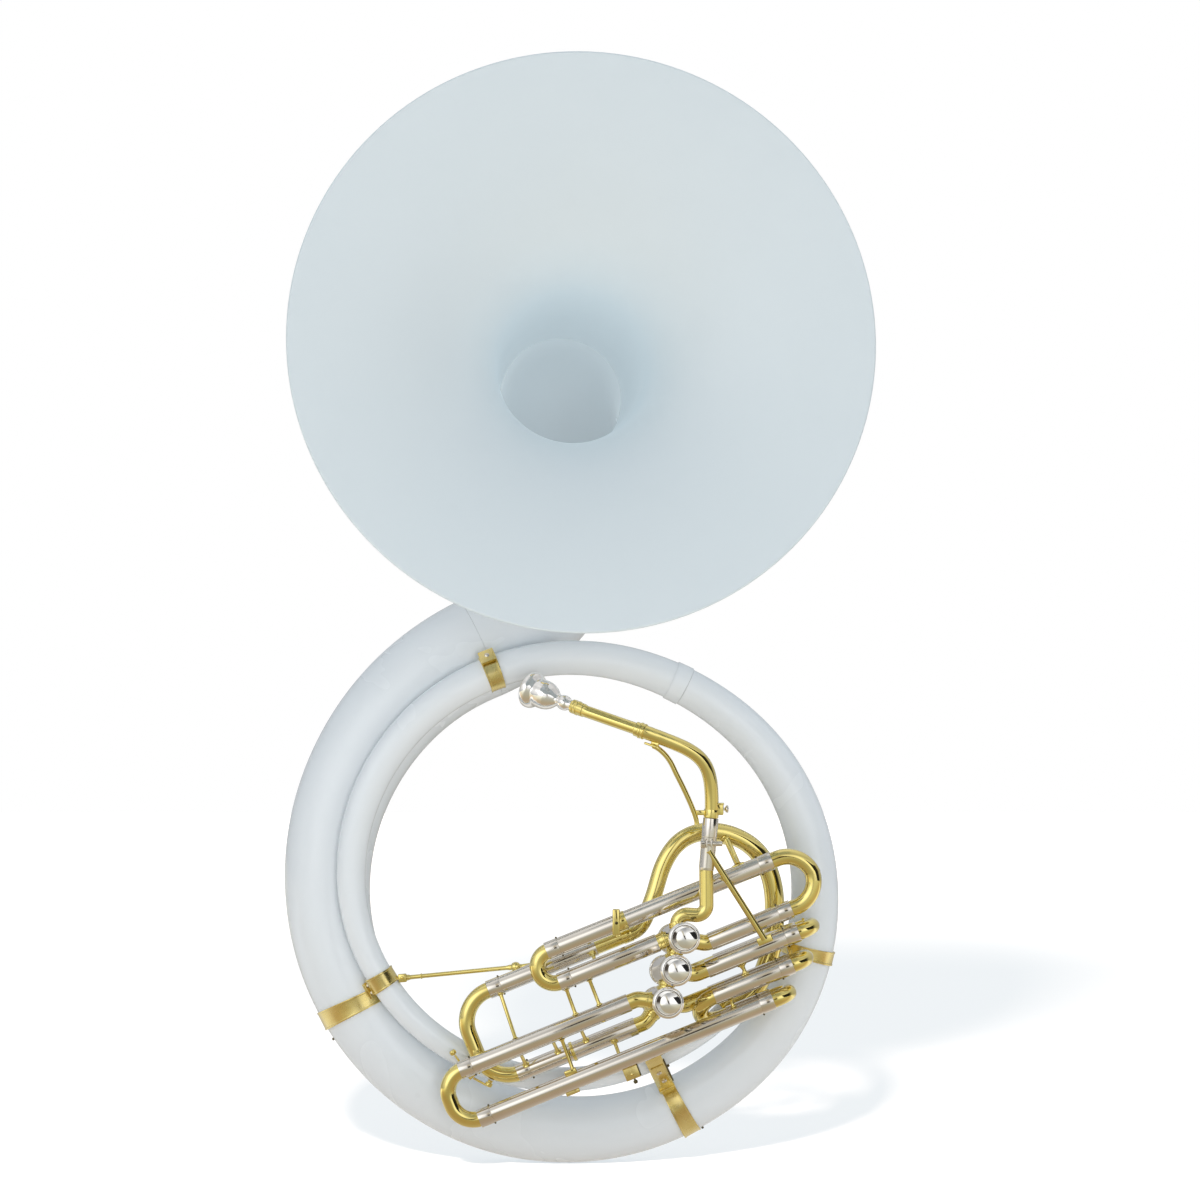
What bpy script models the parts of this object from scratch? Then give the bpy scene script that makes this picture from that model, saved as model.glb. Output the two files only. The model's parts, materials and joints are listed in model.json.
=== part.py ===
"""Fiberglass sousaphone: a coiled body with a detachable bell and a three-valve brass section.

Lengths are in metres and +Z is up. The bell faces -Y. The origin is where the coil rests on
the player's shoulder, on the inner side of the coil.
"""
import math

import bpy
import bmesh
from mathutils import Matrix, Vector

# Coil
RING_CENTRE = Vector((-0.1585, 0.006, -0.2264))
FIBERGLASS_WALL = 0.0032
JOINT_GAP = 0.0003
WELD = 0.00002
# The coil's centre moves a little as the tube comes forward, per metre of depth.
COIL_DRIFT_X = -0.0094
COIL_DRIFT_Z = -0.0744
# Angle in degrees, distance from the coil's centre, tube radius, depth behind the coil's plane
COIL = (
    (108, 0.3238, 0.0635, 0.048),
    (120, 0.3159, 0.0610, 0.040),
    (150, 0.2979, 0.0559, 0.025),
    (180, 0.2846, 0.0516, 0.015),
    (210, 0.2755, 0.0478, 0.005),
    (240, 0.2741, 0.0436, 0.000),
    (270, 0.2774, 0.0402, 0.000),
    (300, 0.2856, 0.0363, 0.000),
    (330, 0.2980, 0.0330, 0.000),
    (360, 0.3058, 0.0287, 0.000),
    (390, 0.3056, 0.0257, -0.003),
    (420, 0.2972, 0.0228, -0.012),
    (450, 0.2913, 0.0205, -0.025),
    (480, 0.2809, 0.0198, -0.038),
    (510, 0.2665, 0.0186, -0.048),
    (540, 0.2505, 0.0168, -0.050),
    (570, 0.2324, 0.0158, -0.048),
    (600, 0.2194, 0.0153, -0.044),
    (630, 0.2154, 0.0146, -0.040),
    (660, 0.2198, 0.0139, -0.040),
    (686, 0.2374, 0.0136, -0.043),
)
COIL_START = 108.0
COIL_JOINT = 420.0
COIL_END = 686.0
COIL_STEP = 13.0
JOINT_ANGLE = 0.08
LARGE_SIDES = 16
SMALL_SIDES = 12

# Straps: where each sits, as an angle along the coil, then its width and thickness
UPPER_STRAP = 467.0
LEFT_STRAP = 207.0
LEFT_STRAP_INNER = 564.0
BOTTOM_STRAP = 299.0
RIGHT_STRAP = 348.0
STRAP_CLEARANCE = 0.0026
LEFT_STRAP_WIDTH = 0.026
LEFT_STRAP_THICKNESS = 0.0012
BRACKET_WIDTH = 0.022
BRACKET_THICKNESS = 0.0030

# Bell and elbow
BELL_RADIUS = 0.330
BELL_LENGTH = 0.380
BELL_THROAT_RADIUS = 0.076
BELL_TAPER = 0.05
BELL_TAPER_DEPTH = 0.4
BELL_FLARE_LENGTH = 0.045
BELL_CENTRE = Vector((0.0266, -0.380, 0.6535))
BELL_AXIS = Vector((0.0742, -0.9895, 0.1237)).normalized()
BELL_DEPTHS = (0.0, 0.006, 0.014, 0.026, 0.042, 0.064, 0.096, 0.150, 0.250, 0.380)
BELL_RIM_THICKNESS = 0.0045
BELL_SIDES = 32
ELBOW_REACH_IN = 0.20
ELBOW_REACH_OUT = 0.26
ELBOW_END_RADIUS = 0.0770
ELBOW_SIDES = 18
ELBOW_STEPS = 10
BELL_RING_BORE = 0.0800
BELL_RING_RADIUS = 0.0822
BELL_RING_HALF_WIDTH = 0.022
BELL_RING_SIDES = 24
BELL_SCREW_RADIUS = 0.0030
BELL_SCREW_FORWARD = 0.008

# Slides: a along the tubes, b across them, both from a point near the second valve
SLIDE_ORIGIN = Vector((0.1406, 0.0, -0.0736))
SLIDE_ANGLE = math.radians(22.0)
ALONG = Vector((math.cos(SLIDE_ANGLE), 0.0, math.sin(SLIDE_ANGLE)))
ACROSS = Vector((-math.sin(SLIDE_ANGLE), 0.0, math.cos(SLIDE_ANGLE)))
FORWARD = Vector((0.0, -1.0, 0.0))
RIGHT = Vector((1.0, 0.0, 0.0))
UP = Vector((0.0, 0.0, 1.0))
FRONT = -0.108
BACK = -0.074
TUBE_BORE = 0.0089
TUBE_RADIUS = 0.0096
SLEEVE_BORE = 0.0101
SLEEVE_RADIUS = 0.0107
COLLAR_RADIUS = 0.0110
COLLAR_LENGTH = 0.017
SLEEVE_OVERLAP = 0.003
TUBE_SIDES = 12
BOW_SIDES = 10
PORT_BEND = 0.016

# The rows that the tubes lie in, across the slides
FIRST_UPPER_ROW = 0.0822
MAIN_UPPER_ROW = 0.0637
FIRST_LEFT_ROW = 0.0373
FIRST_RIGHT_ROW = 0.0166
THIRD_UPPER_ROW = -0.0100
SECOND_ROW = -0.0124
THIRD_RETURN_ROW = -0.0453
MAIN_LOWER_ROW = -0.0465
THIRD_LOWER_ROW = -0.0757

# The seams where the bows pull out of the fixed tubes, along the slides
FIRST_RIGHT_SEAM = 0.1490
FIRST_LEFT_SEAM = -0.1385
SECOND_SEAM = 0.1465
THIRD_LEFT_SEAM = -0.2868
THIRD_UPPER_SEAM = 0.1255
THIRD_LOWER_SEAM = 0.0885
MAIN_UPPER_SEAM = -0.2215
MAIN_LOWER_SEAM = -0.2265
ARCH_SEAM = -0.0440
MAIN_FAR = -0.2624
MAIN_BEND = 0.0355

# Valves
VALVE_AXIS = Vector((0.0872, -0.992, 0.0895)).normalized()
VALVE_PITCH = 0.03905
VALVE_LINE = math.radians(54.0)
FIRST_VALVE_A = 0.0130
FIRST_VALVE_B = 0.0337
CASING_RADIUS = 0.0170
CASING_BORE = 0.0138
CASING_FRONT = -0.158
CASING_REAR = -0.033
PISTON_RADIUS = 0.0134
PISTON_WALL = 0.0014
PISTON_FRONT = -0.1565
PISTON_REAR = -0.066
PISTON_WINDOW_RADIUS = 0.0078
PORT_RADIUS = 0.0085
STEM_RADIUS = 0.0034
CAP_RADIUS = 0.0186
BUTTON_RADIUS = 0.0118
BUTTON_FRONT = -0.190
BUTTON_THICKNESS = 0.0045
VALVE_SIDES = 16
SPRING_RADIUS = 0.0098
SPRING_WIRE = 0.0010
SPRING_TURNS = 3
SPRING_STEPS = 8
KNUCKLE_DEPTH = -0.092
LEADPIPE_PORT = -0.130
LEADPIPE_BORE = 0.0062

# Braces between tubes, the stay rod and the water key
BRACE_RADIUS = 0.0018
WALL_MIDDLE = 0.0104
TUBE_CLEARANCE = COLLAR_RADIUS + JOINT_GAP
ROOT_LENGTH = 0.010
STAY_RADIUS = 0.0025
STAY_END = (-0.1600, MAIN_UPPER_ROW + 0.0065, BACK + 0.0070)
LUG_LENGTH = 0.0080
KEY_PIVOT = (-0.2801, -0.0290)
KEY_CORK = (-0.2653, -0.0472)
KEY_KNOB = (-0.2887, 0.0060)
KEY_PIN_RADIUS = 0.0010
KEY_BARREL_RADIUS = 0.0026
KEY_POST_OFFSET = 0.0045
KEY_POST_FOOT = 0.0073

# Receiver, neck and mouthpiece
RECEIVER_TOP = RING_CENTRE + Vector((0.1765, -0.131, 0.1060))
RECEIVER_FOOT = RING_CENTRE + Vector((0.1712, -0.131, 0.0450))
RECEIVER_RADIUS = 0.0093
NECK_TIP = RING_CENTRE + Vector((0.0930, -0.1460, 0.2101))
BIT_BEND = RING_CENTRE + Vector((0.0296, -0.1230, 0.2315))
BIT_END = RING_CENTRE + Vector((0.0140, -0.1120, 0.2374))
CLAMP_HEIGHT = 0.0768
CLAMP_DEPTH = -0.0145
LYRE_HEIGHT = 0.1168


def clear_scene():
    """Remove whatever the file starts with."""
    for item in list(bpy.data.objects):
        bpy.data.objects.remove(item, do_unlink=True)


def make_material(name, colour, roughness, metallic):
    """One plain surface."""
    material = bpy.data.materials.new(name)
    material.use_nodes = True
    shader = material.node_tree.nodes["Principled BSDF"]
    shader.inputs["Base Color"].default_value = (*colour, 1.0)
    shader.inputs["Roughness"].default_value = roughness
    shader.inputs["Metallic"].default_value = metallic
    return material


def ring_point(x, y, z):
    """A point given from the coil's centre."""
    return RING_CENTRE + Vector((x, y, z))


def slide_point(a, b, y):
    """A point given along and across the slides, at depth y."""
    return RING_CENTRE + SLIDE_ORIGIN + ALONG * a + ACROSS * b + Vector((0.0, y, 0.0))


def valve_point(number, y):
    """A point on a valve's axis at depth y."""
    step = (number - 1) * VALVE_PITCH
    a = FIRST_VALVE_A - step * math.cos(VALVE_LINE)
    b = FIRST_VALVE_B - step * math.sin(VALVE_LINE)
    return slide_point(a, b, FRONT) + VALVE_AXIS * ((y - FRONT) / VALVE_AXIS.y)


def placed(point, along, side):
    """A matrix at a point whose Z runs along the tube and whose X keeps to one side."""
    x_axis = (side - along * side.dot(along)).normalized()
    y_axis = along.cross(x_axis)
    matrix = Matrix((x_axis, y_axis, along)).transposed().to_4x4()
    matrix.translation = point
    return matrix


def skin(rings, sides, closed):
    """One circle extruded from place to place; the ends are capped unless it closes on itself."""
    bm = bmesh.new()
    order = rings + rings[:1] if closed else rings
    current = order[0][0] @ Matrix.Scale(order[0][1], 4)
    made = bmesh.ops.create_circle(bm, segments=sides, radius=1.0, matrix=current)
    loop = list({edge for vert in made["verts"] for edge in vert.link_edges})
    if not closed:
        bmesh.ops.contextual_create(bm, geom=loop)
    for place, radius in order[1:]:
        target = place @ Matrix.Scale(radius, 4)
        grown = bmesh.ops.extrude_edge_only(bm, edges=loop)["geom"]
        verts = {part for part in grown if isinstance(part, bmesh.types.BMVert)}
        edges = [part for part in grown if isinstance(part, bmesh.types.BMEdge)]
        loop = [edge for edge in edges if set(edge.verts) <= verts]
        bmesh.ops.transform(bm, matrix=target @ current.inverted(), verts=list(verts))
        current = target
    if closed:
        bmesh.ops.remove_doubles(bm, verts=bm.verts, dist=WELD)
    else:
        bmesh.ops.contextual_create(bm, geom=loop)
    bmesh.ops.recalc_face_normals(bm, faces=bm.faces)
    return bm


def finish(name, bm, material, origin=None):
    """Turn a bmesh into a named object whose origin lies at the given point."""
    start = origin or Vector((0.0, 0.0, 0.0))
    bmesh.ops.translate(bm, verts=bm.verts, vec=-start)
    mesh = bpy.data.meshes.new(name)
    bm.to_mesh(mesh)
    bm.free()
    mesh.shade_smooth()
    mesh.set_sharp_from_angle(angle=math.radians(40.0))
    mesh.materials.append(material)
    item = bpy.data.objects.new(name, mesh)
    item.location = start
    bpy.context.collection.objects.link(item)
    return item


def route(corners, bend, steps=3):
    """Points and directions along straight runs joined by round bends of one radius."""
    stations = [(corners[0], (corners[1] - corners[0]).normalized())]
    for before, corner, after in zip(corners, corners[1:], corners[2:]):
        into = (corner - before).normalized()
        out = (after - corner).normalized()
        turn = into.angle(out)
        axis = into.cross(out).normalized()
        start = corner - into * (bend * math.tan(turn / 2.0))
        centre = start + axis.cross(into) * bend
        count = max(2, round(steps * turn / (math.pi / 2.0)))
        for index in range(count + 1):
            spin = Matrix.Rotation(turn * index / count, 3, axis)
            point = centre + spin @ (start - centre)
            if (point - stations[-1][0]).length > 0.0005:
                stations.append((point, spin @ into))
    stations.append((corners[-1], (corners[-1] - corners[-2]).normalized()))
    return stations


def sections(stations, lengths):
    """Radii along a path: each entry of lengths is (length, outer radius, bore radius)."""
    marks = []
    travelled = 0.0
    for length, outer, bore in lengths:
        travelled += length
        marks.append((travelled, outer, bore))
    parts = []
    distance = 0.0
    index = 0
    for number, (point, along) in enumerate(stations):
        if number:
            previous = stations[number - 1][0]
            run = (point - previous).length
            while index < len(marks) - 1 and distance + run > marks[index][0] + 1e-5:
                spot = previous.lerp(point, (marks[index][0] - distance) / run)
                parts.append((spot, along, marks[index][1], marks[index][2]))
                parts.append((spot, along, marks[index + 1][1], marks[index + 1][2]))
                index += 1
            distance += run
        parts.append((point, along, marks[index][1], marks[index][2]))
    return parts


def path_length(stations):
    """Length of a path along its points."""
    return sum((b[0] - a[0]).length for a, b in zip(stations, stations[1:]))


def needed(rings):
    """Leave out circles that lie midway along a straight run of one radius."""
    kept = [rings[0]]
    for ring, after in zip(rings[1:], rings[2:]):
        before = kept[-1]
        same = abs(ring[1] - before[1]) < WELD and abs(ring[1] - after[1]) < WELD
        axes = [entry[0].to_3x3().col[2] for entry in (before, ring, after)]
        straight = axes[0].dot(axes[1]) > 0.99999 and axes[1].dot(axes[2]) > 0.99999
        if not (same and straight):
            kept.append(ring)
    return kept + [rings[-1]]


def hollow(parts, side=FORWARD, sides=TUBE_SIDES):
    """A tube with its bore from (point, direction, outer radius, bore radius) stations."""
    frames = []
    for point, along, outer, bore in parts:
        frame = placed(point, along, side)
        side = frame.to_3x3().col[0]
        frames.append((frame, outer, bore))
    outside = needed([(frame, outer) for frame, outer, _ in frames])
    inside = needed([(frame, bore) for frame, _, bore in frames])
    return skin(outside + inside[::-1], sides, closed=True)


def solid(stations, radii, side=FORWARD, sides=8):
    """A solid round rod from stations and one radius for each."""
    rings = []
    for (point, along), radius in zip(stations, radii):
        frame = placed(point, along, side)
        side = frame.to_3x3().col[0]
        rings.append((frame, radius))
    return skin(rings, sides, closed=False)


def turned(base, axis, profile, side=FORWARD, sides=12):
    """A turned solid: profile holds (distance along the axis, radius)."""
    rings = [(placed(base + axis * distance, axis, side), radius) for distance, radius in profile]
    return skin(rings, sides, closed=False)


def turned_ring(base, axis, profile, side=FORWARD, sides=12):
    """A turned piece with a hole: profile goes once round its section."""
    rings = [(placed(base + axis * distance, axis, side), radius) for distance, radius in profile]
    return skin(rings, sides, closed=True)


def as_cutter(item):
    """Keep a helper shape out of the finished model."""
    item.hide_render = True
    item.display_type = "WIRE"
    return item


def combine(item, other, operation):
    """Cut one shape with another, or join them."""
    modifier = item.modifiers.new(other.name, "BOOLEAN")
    modifier.operation = operation
    modifier.solver = "EXACT"
    modifier.object = as_cutter(other)


def rod(name, start, end, radius, material, side=UP):
    """A plain round rod between two points, with a flat rather than an edge on the given side."""
    along = (end - start).normalized()
    profile = [(0.0, radius), ((end - start).length, radius)]
    across = along.cross(side).normalized() * math.tan(math.radians(22.5))
    square = (side - along * side.dot(along)).normalized()
    return finish(name, turned(start, along, profile, square + across, sides=8), material)


def plug(name, centre, axis, radius, half, material, side=FORWARD):
    """A short round cutter with as many sides as the tubes, turned as they are."""
    profile = [(-half, radius), (half, radius)]
    return finish(name, turned(centre, axis, profile, side, TUBE_SIDES), material)


def block(name, centre, axes, size, material):
    """A small box turned to three axes."""
    bm = bmesh.new()
    bmesh.ops.create_cube(bm, size=1.0)
    bmesh.ops.scale(bm, verts=bm.verts, vec=Vector(size))
    turn = Matrix(axes).transposed().to_4x4()
    bmesh.ops.transform(bm, matrix=Matrix.Translation(centre) @ turn, verts=bm.verts)
    bmesh.ops.recalc_face_normals(bm, faces=bm.faces)
    return finish(name, bm, material)


def coil_values(angle):
    """Distance, tube radius and depth at an angle, on a smooth curve through the coil's stations."""
    last = len(COIL) - 1
    index = 0
    while index < last - 1 and COIL[index + 1][0] < angle:
        index += 1
    before = COIL[max(index - 1, 0)]
    start = COIL[index]
    end = COIL[index + 1]
    after = COIL[min(index + 2, last)]
    span = end[0] - start[0]
    t = (angle - start[0]) / span
    values = []
    for column in (1, 2, 3):
        slope_start = (end[column] - before[column]) / (end[0] - before[0]) * span
        slope_end = (after[column] - start[column]) / (after[0] - start[0]) * span
        value = (2 * t**3 - 3 * t**2 + 1) * start[column] + (t**3 - 2 * t**2 + t) * slope_start
        value += (-2 * t**3 + 3 * t**2) * end[column] + (t**3 - t**2) * slope_end
        values.append(value)
    return values


def coil_point(angle):
    """Centre of the coiled tube at an angle."""
    distance, _, depth = coil_values(angle)
    turn = math.radians(angle)
    x = distance * math.cos(turn) + COIL_DRIFT_X * depth
    z = distance * math.sin(turn) + COIL_DRIFT_Z * depth
    return ring_point(x, depth, z)


def coil_direction(angle):
    """Direction of the coiled tube towards its small end."""
    low = max(angle - 0.5, COIL_START)
    high = min(angle + 0.5, COIL_END)
    return (coil_point(high) - coil_point(low)).normalized()


def coil_inward(angle):
    """Direction from the coiled tube towards the coil's centre, square to the tube."""
    along = coil_direction(angle)
    inward = RING_CENTRE - coil_point(angle)
    inward.y = 0.0
    return (inward - along * inward.dot(along)).normalized()


def coil_parts(angles, step):
    """Stations along the coil through the given angles, evenly spaced between them."""
    parts = []
    for start, end in zip(angles, angles[1:]):
        count = max(1, round((end - start) / step))
        last = count + 1 if end == angles[-1] else count
        for index in range(last):
            angle = start + (end - start) * index / count
            radius = coil_values(angle)[1]
            parts.append((coil_point(angle), coil_direction(angle), radius, radius - FIBERGLASS_WALL))
    return parts


def bell_radius(depth):
    """Outer radius of the bell at a depth behind its rim."""
    flare = BELL_RADIUS - BELL_THROAT_RADIUS - BELL_TAPER * BELL_TAPER_DEPTH
    taper = BELL_TAPER * (BELL_TAPER_DEPTH - depth)
    return BELL_THROAT_RADIUS + taper + flare * math.exp(-depth / BELL_FLARE_LENGTH)


def make_bell(material):
    """The flaring shell, with its wall behind the face."""
    outside = [(-depth, bell_radius(depth)) for depth in BELL_DEPTHS]
    inside = []
    for depth in BELL_DEPTHS[:-1]:
        lead = BELL_RIM_THICKNESS - 0.003 * math.exp(-depth / 0.06)
        inside.append((-depth + lead, bell_radius(depth) - FIBERGLASS_WALL))
    inside.append((-BELL_LENGTH, bell_radius(BELL_LENGTH) - FIBERGLASS_WALL))
    section = outside + inside[::-1]
    bm = turned_ring(ring_point(*BELL_CENTRE), BELL_AXIS, section, UP, BELL_SIDES)
    finish("bell", bm, material, origin=bell_tail())


def bell_tail():
    """The middle of the bell's rear end, where it meets the elbow."""
    return ring_point(*BELL_CENTRE) - BELL_AXIS * BELL_LENGTH


def make_elbow(material):
    """The bow that carries the bell."""
    into = -coil_direction(COIL_START)
    start = coil_point(COIL_START) + into * JOINT_GAP
    end = bell_tail() - BELL_AXIS * JOINT_GAP
    handles = (start, start + into * ELBOW_REACH_IN, end - BELL_AXIS * ELBOW_REACH_OUT, end)
    first_radius = COIL[0][2]
    parts = []
    for index in range(ELBOW_STEPS + 1):
        t = index / ELBOW_STEPS
        s = 1.0 - t
        point = handles[0] * s**3 + handles[1] * 3 * s**2 * t
        point += handles[2] * 3 * s * t**2 + handles[3] * t**3
        along = (handles[1] - handles[0]) * s**2 + (handles[2] - handles[1]) * 2 * s * t
        along = (along + (handles[3] - handles[2]) * t**2).normalized()
        outer = first_radius + (ELBOW_END_RADIUS - first_radius) * t
        parts.append((point, along, outer, outer - FIBERGLASS_WALL))
    finish("bell_elbow", hollow(parts, UP, ELBOW_SIDES), material)


def make_branches(material):
    """The thick and the thin part of the coil."""
    large = coil_parts((COIL_START, LEFT_STRAP, BOTTOM_STRAP, RIGHT_STRAP, COIL_JOINT), COIL_STEP)
    finish("large_branch", hollow(large, sides=LARGE_SIDES), material)
    small = coil_parts((COIL_JOINT + JOINT_ANGLE, UPPER_STRAP, LEFT_STRAP_INNER, COIL_END), COIL_STEP)
    finish("small_branch", hollow(small, sides=SMALL_SIDES), material)


def make_bell_joint(brass):
    """The ring round the bell's tail and its three thumb screws."""
    centre = bell_tail()
    half = BELL_RING_HALF_WIDTH
    section = [(-half, BELL_RING_RADIUS), (half, BELL_RING_RADIUS),
               (half, BELL_RING_BORE), (-half, BELL_RING_BORE)]
    ring = finish("bell_ring", turned_ring(centre, BELL_AXIS, section, UP, BELL_RING_SIDES), brass)
    frame = placed(centre, BELL_AXIS, UP).to_3x3()
    spot = centre + BELL_AXIS * BELL_SCREW_FORWARD
    hole_radius = BELL_SCREW_RADIUS + 0.0004
    profile = [(0.0800, BELL_SCREW_RADIUS), (0.0870, BELL_SCREW_RADIUS), (0.0870, 0.0060),
               (0.0905, 0.0060), (0.0905, 0.0042), (0.0925, 0.0042), (0.0925, 0.0085), (0.0965, 0.0085)]
    for number in (1, 2, 3):
        angle = math.radians(120.0 * number - 30.0)
        outward = frame @ Vector((math.cos(angle), math.sin(angle), 0.0))
        turn_side = BELL_AXIS + BELL_AXIS.cross(outward) * math.tan(math.radians(15.0))
        hole = turned(spot, outward, [(0.060, hole_radius), (0.100, hole_radius)], turn_side)
        combine(ring, finish("bell_screw_hole_%d" % number, hole, brass), "DIFFERENCE")
        screw = turned(spot, outward, profile, BELL_AXIS, sides=10)
        finish("bell_screw_%d" % number, screw, brass, origin=spot + outward * 0.085)


def band_radii(angle, width, thickness, clearance):
    """Bore and outer radius of a band round the coiled tube."""
    reach = math.degrees(width / 2.0 / coil_values(angle)[0])
    widest = max(coil_values(angle - reach)[1], coil_values(angle)[1])
    return widest + clearance, widest + clearance + thickness


def make_band(name, angle, width, thickness, sides, material, clearance=STRAP_CLEARANCE):
    """A band round the coiled tube."""
    bore, outer = band_radii(angle, width, thickness, clearance)
    centre = coil_point(angle)
    along = coil_direction(angle)
    ends = (centre - along * width / 2.0, centre + along * width / 2.0)
    parts = [(end, along, outer, bore) for end in ends]
    return finish(name, hollow(parts, sides=sides), material)


def clear_of_coil(item, angle):
    """Keep a fitting out of the coiled tube that its strap goes round."""
    along = coil_direction(angle)
    bore = max(coil_values(angle - 3.0)[1], coil_values(angle)[1]) + STRAP_CLEARANCE * 0.8
    bed = turned(coil_point(angle) - along * 0.03, along, [(0.0, bore), (0.06, bore)], sides=18)
    combine(item, finish(item.name + "_bed", bed, item.data.materials[0]), "DIFFERENCE")


def make_bracket(strap, name, angle, tube_point, brass):
    """A flat arm from a strap's inner front side to a slide tube whose axis passes the given point."""
    along = coil_direction(angle)
    lean = (coil_inward(angle) + FORWARD).normalized()
    start = coil_point(angle) + lean * (coil_values(angle)[1] + STRAP_CLEARANCE * 0.6)
    reach = (tube_point - start).normalized()
    width_axis = (along - reach * along.dot(reach)).normalized()
    axes = (reach, width_axis, reach.cross(width_axis))
    size = ((tube_point - start).length, BRACKET_WIDTH, BRACKET_THICKNESS)
    arm = block(name, (start + tube_point) / 2.0, axes, size, brass)
    clear_of_coil(arm, angle)
    combine(arm, plug(name + "_rest", tube_point, ALONG, TUBE_CLEARANCE, 0.04, brass), "DIFFERENCE")
    combine(strap, arm, "UNION")


def make_upper_strap(brass):
    """The band that ties the thin branch to the elbow's foot, with its screw tab."""
    strap = make_band("upper_strap", UPPER_STRAP, 0.020, 0.0010, 14, brass, clearance=0.0018)
    along = coil_direction(UPPER_STRAP)
    towards = FORWARD * 0.8 - coil_inward(UPPER_STRAP) * 0.6
    towards = (towards - along * towards.dot(along)).normalized()
    tab = block("upper_strap_tab", coil_point(UPPER_STRAP) + towards * 0.0240,
                (towards, along, towards.cross(along)), (0.005, 0.016, 0.010), brass)
    combine(strap, tab, "UNION")


def make_left_strap(brass):
    """The two joined bands on the left, with the lug of the stay rod."""
    width = LEFT_STRAP_WIDTH
    thickness = LEFT_STRAP_THICKNESS
    strap = make_band("left_strap", LEFT_STRAP, width + 0.002, thickness, 18, brass)
    band = make_band("left_strap_band", LEFT_STRAP_INNER, width, thickness, 14, brass)
    combine(strap, band, "UNION")
    thin = coil_point(LEFT_STRAP_INNER)
    thick = coil_point(LEFT_STRAP)
    towards = (thick - thin).normalized()
    along = coil_direction(LEFT_STRAP)
    thin_edge = band_radii(LEFT_STRAP_INNER, width, thickness, STRAP_CLEARANCE)[1]
    thick_edge = band_radii(LEFT_STRAP, width + 0.002, thickness, STRAP_CLEARANCE)[1]
    space = (thick - thin).length - thin_edge - thick_edge
    middle = thin + towards * (thin_edge + space / 2.0)
    link = block("left_strap_link", middle, (towards, along, towards.cross(along)),
                 (space + 0.0022, 0.022, 0.012), brass)
    combine(strap, link, "UNION")
    start, reach = stay_line()
    across = UP.cross(reach).normalized()
    lug = block("left_strap_lug", start - reach * (LUG_LENGTH / 2.0 + 0.0005 + JOINT_GAP),
                (reach, across, reach.cross(across)), (LUG_LENGTH + 0.001, 0.0076, 0.0104), brass)
    clear_of_coil(lug, LEFT_STRAP_INNER)
    combine(strap, lug, "UNION")


def stay_line():
    """Where the stay rod starts, by the left strap, and the direction in which it runs."""
    thin = coil_point(LEFT_STRAP_INNER)
    edge = band_radii(LEFT_STRAP_INNER, LEFT_STRAP_WIDTH, LEFT_STRAP_THICKNESS, STRAP_CLEARANCE)[1]
    reach = (slide_point(*STAY_END) - thin).normalized()
    slant = reach.cross(coil_direction(LEFT_STRAP_INNER)).length
    return thin + reach * (edge / slant + LUG_LENGTH), reach


def make_stay_rod(brass):
    """The rod from the left strap to the main slide, with its ball and its flared ends."""
    start, reach = stay_line()
    length = (slide_point(*STAY_END) - start).length
    ball = length - 0.0225
    profile = [(0.0, 0.0042), (0.0050, 0.0042), (0.0065, STAY_RADIUS), (ball - 0.0050, STAY_RADIUS),
               (ball - 0.0025, 0.0048), (ball + 0.0025, 0.0048), (ball + 0.0050, 0.0022),
               (length, 0.0044)]
    bm = turned(start, reach, profile, UP, sides=10)
    stay = finish("left_stay_rod", bm, brass, origin=start)
    rest = plug("stay_rest", slide_point(STAY_END[0], MAIN_UPPER_ROW, BACK), ALONG,
                SLEEVE_RADIUS + JOINT_GAP, 0.06, brass)
    combine(stay, rest, "DIFFERENCE")


def make_straps(brass):
    """The four straps that tie the branches and carry the brass."""
    make_upper_strap(brass)
    make_left_strap(brass)
    bottom = make_band("bottom_strap", BOTTOM_STRAP, 0.026, 0.0014, 18, brass)
    make_bracket(bottom, "bottom_bracket", BOTTOM_STRAP,
                 slide_point(-0.0700, THIRD_LOWER_ROW, FRONT), brass)
    right = make_band("right_strap", RIGHT_STRAP, 0.018, 0.0012, 18, brass)
    make_bracket(right, "right_bracket", RIGHT_STRAP,
                 slide_point(0.1320, SECOND_ROW, BACK), brass)


def make_slide_bow(name, one, two, outward, far, bend, legs, material, steps=3):
    """A movable bow from the seam points of its two tubes: two inner legs and the bend between them."""
    seam_one = slide_point(*one) + outward * JOINT_GAP
    seam_two = slide_point(*two) + outward * JOINT_GAP
    tips = (seam_one - outward * legs[0], seam_two - outward * legs[1])
    sign = outward.dot(ALONG)
    corners = [tips[0], seam_one + outward * (sign * (far - one[0]) - JOINT_GAP),
               seam_two + outward * (sign * (far - two[0]) - JOINT_GAP), tips[1]]
    parts = [(point, along, TUBE_RADIUS, TUBE_BORE) for point, along in route(corners, bend, steps)]
    return finish(name, hollow(parts, sides=BOW_SIDES), material, origin=(seam_one + seam_two) / 2.0)


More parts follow.
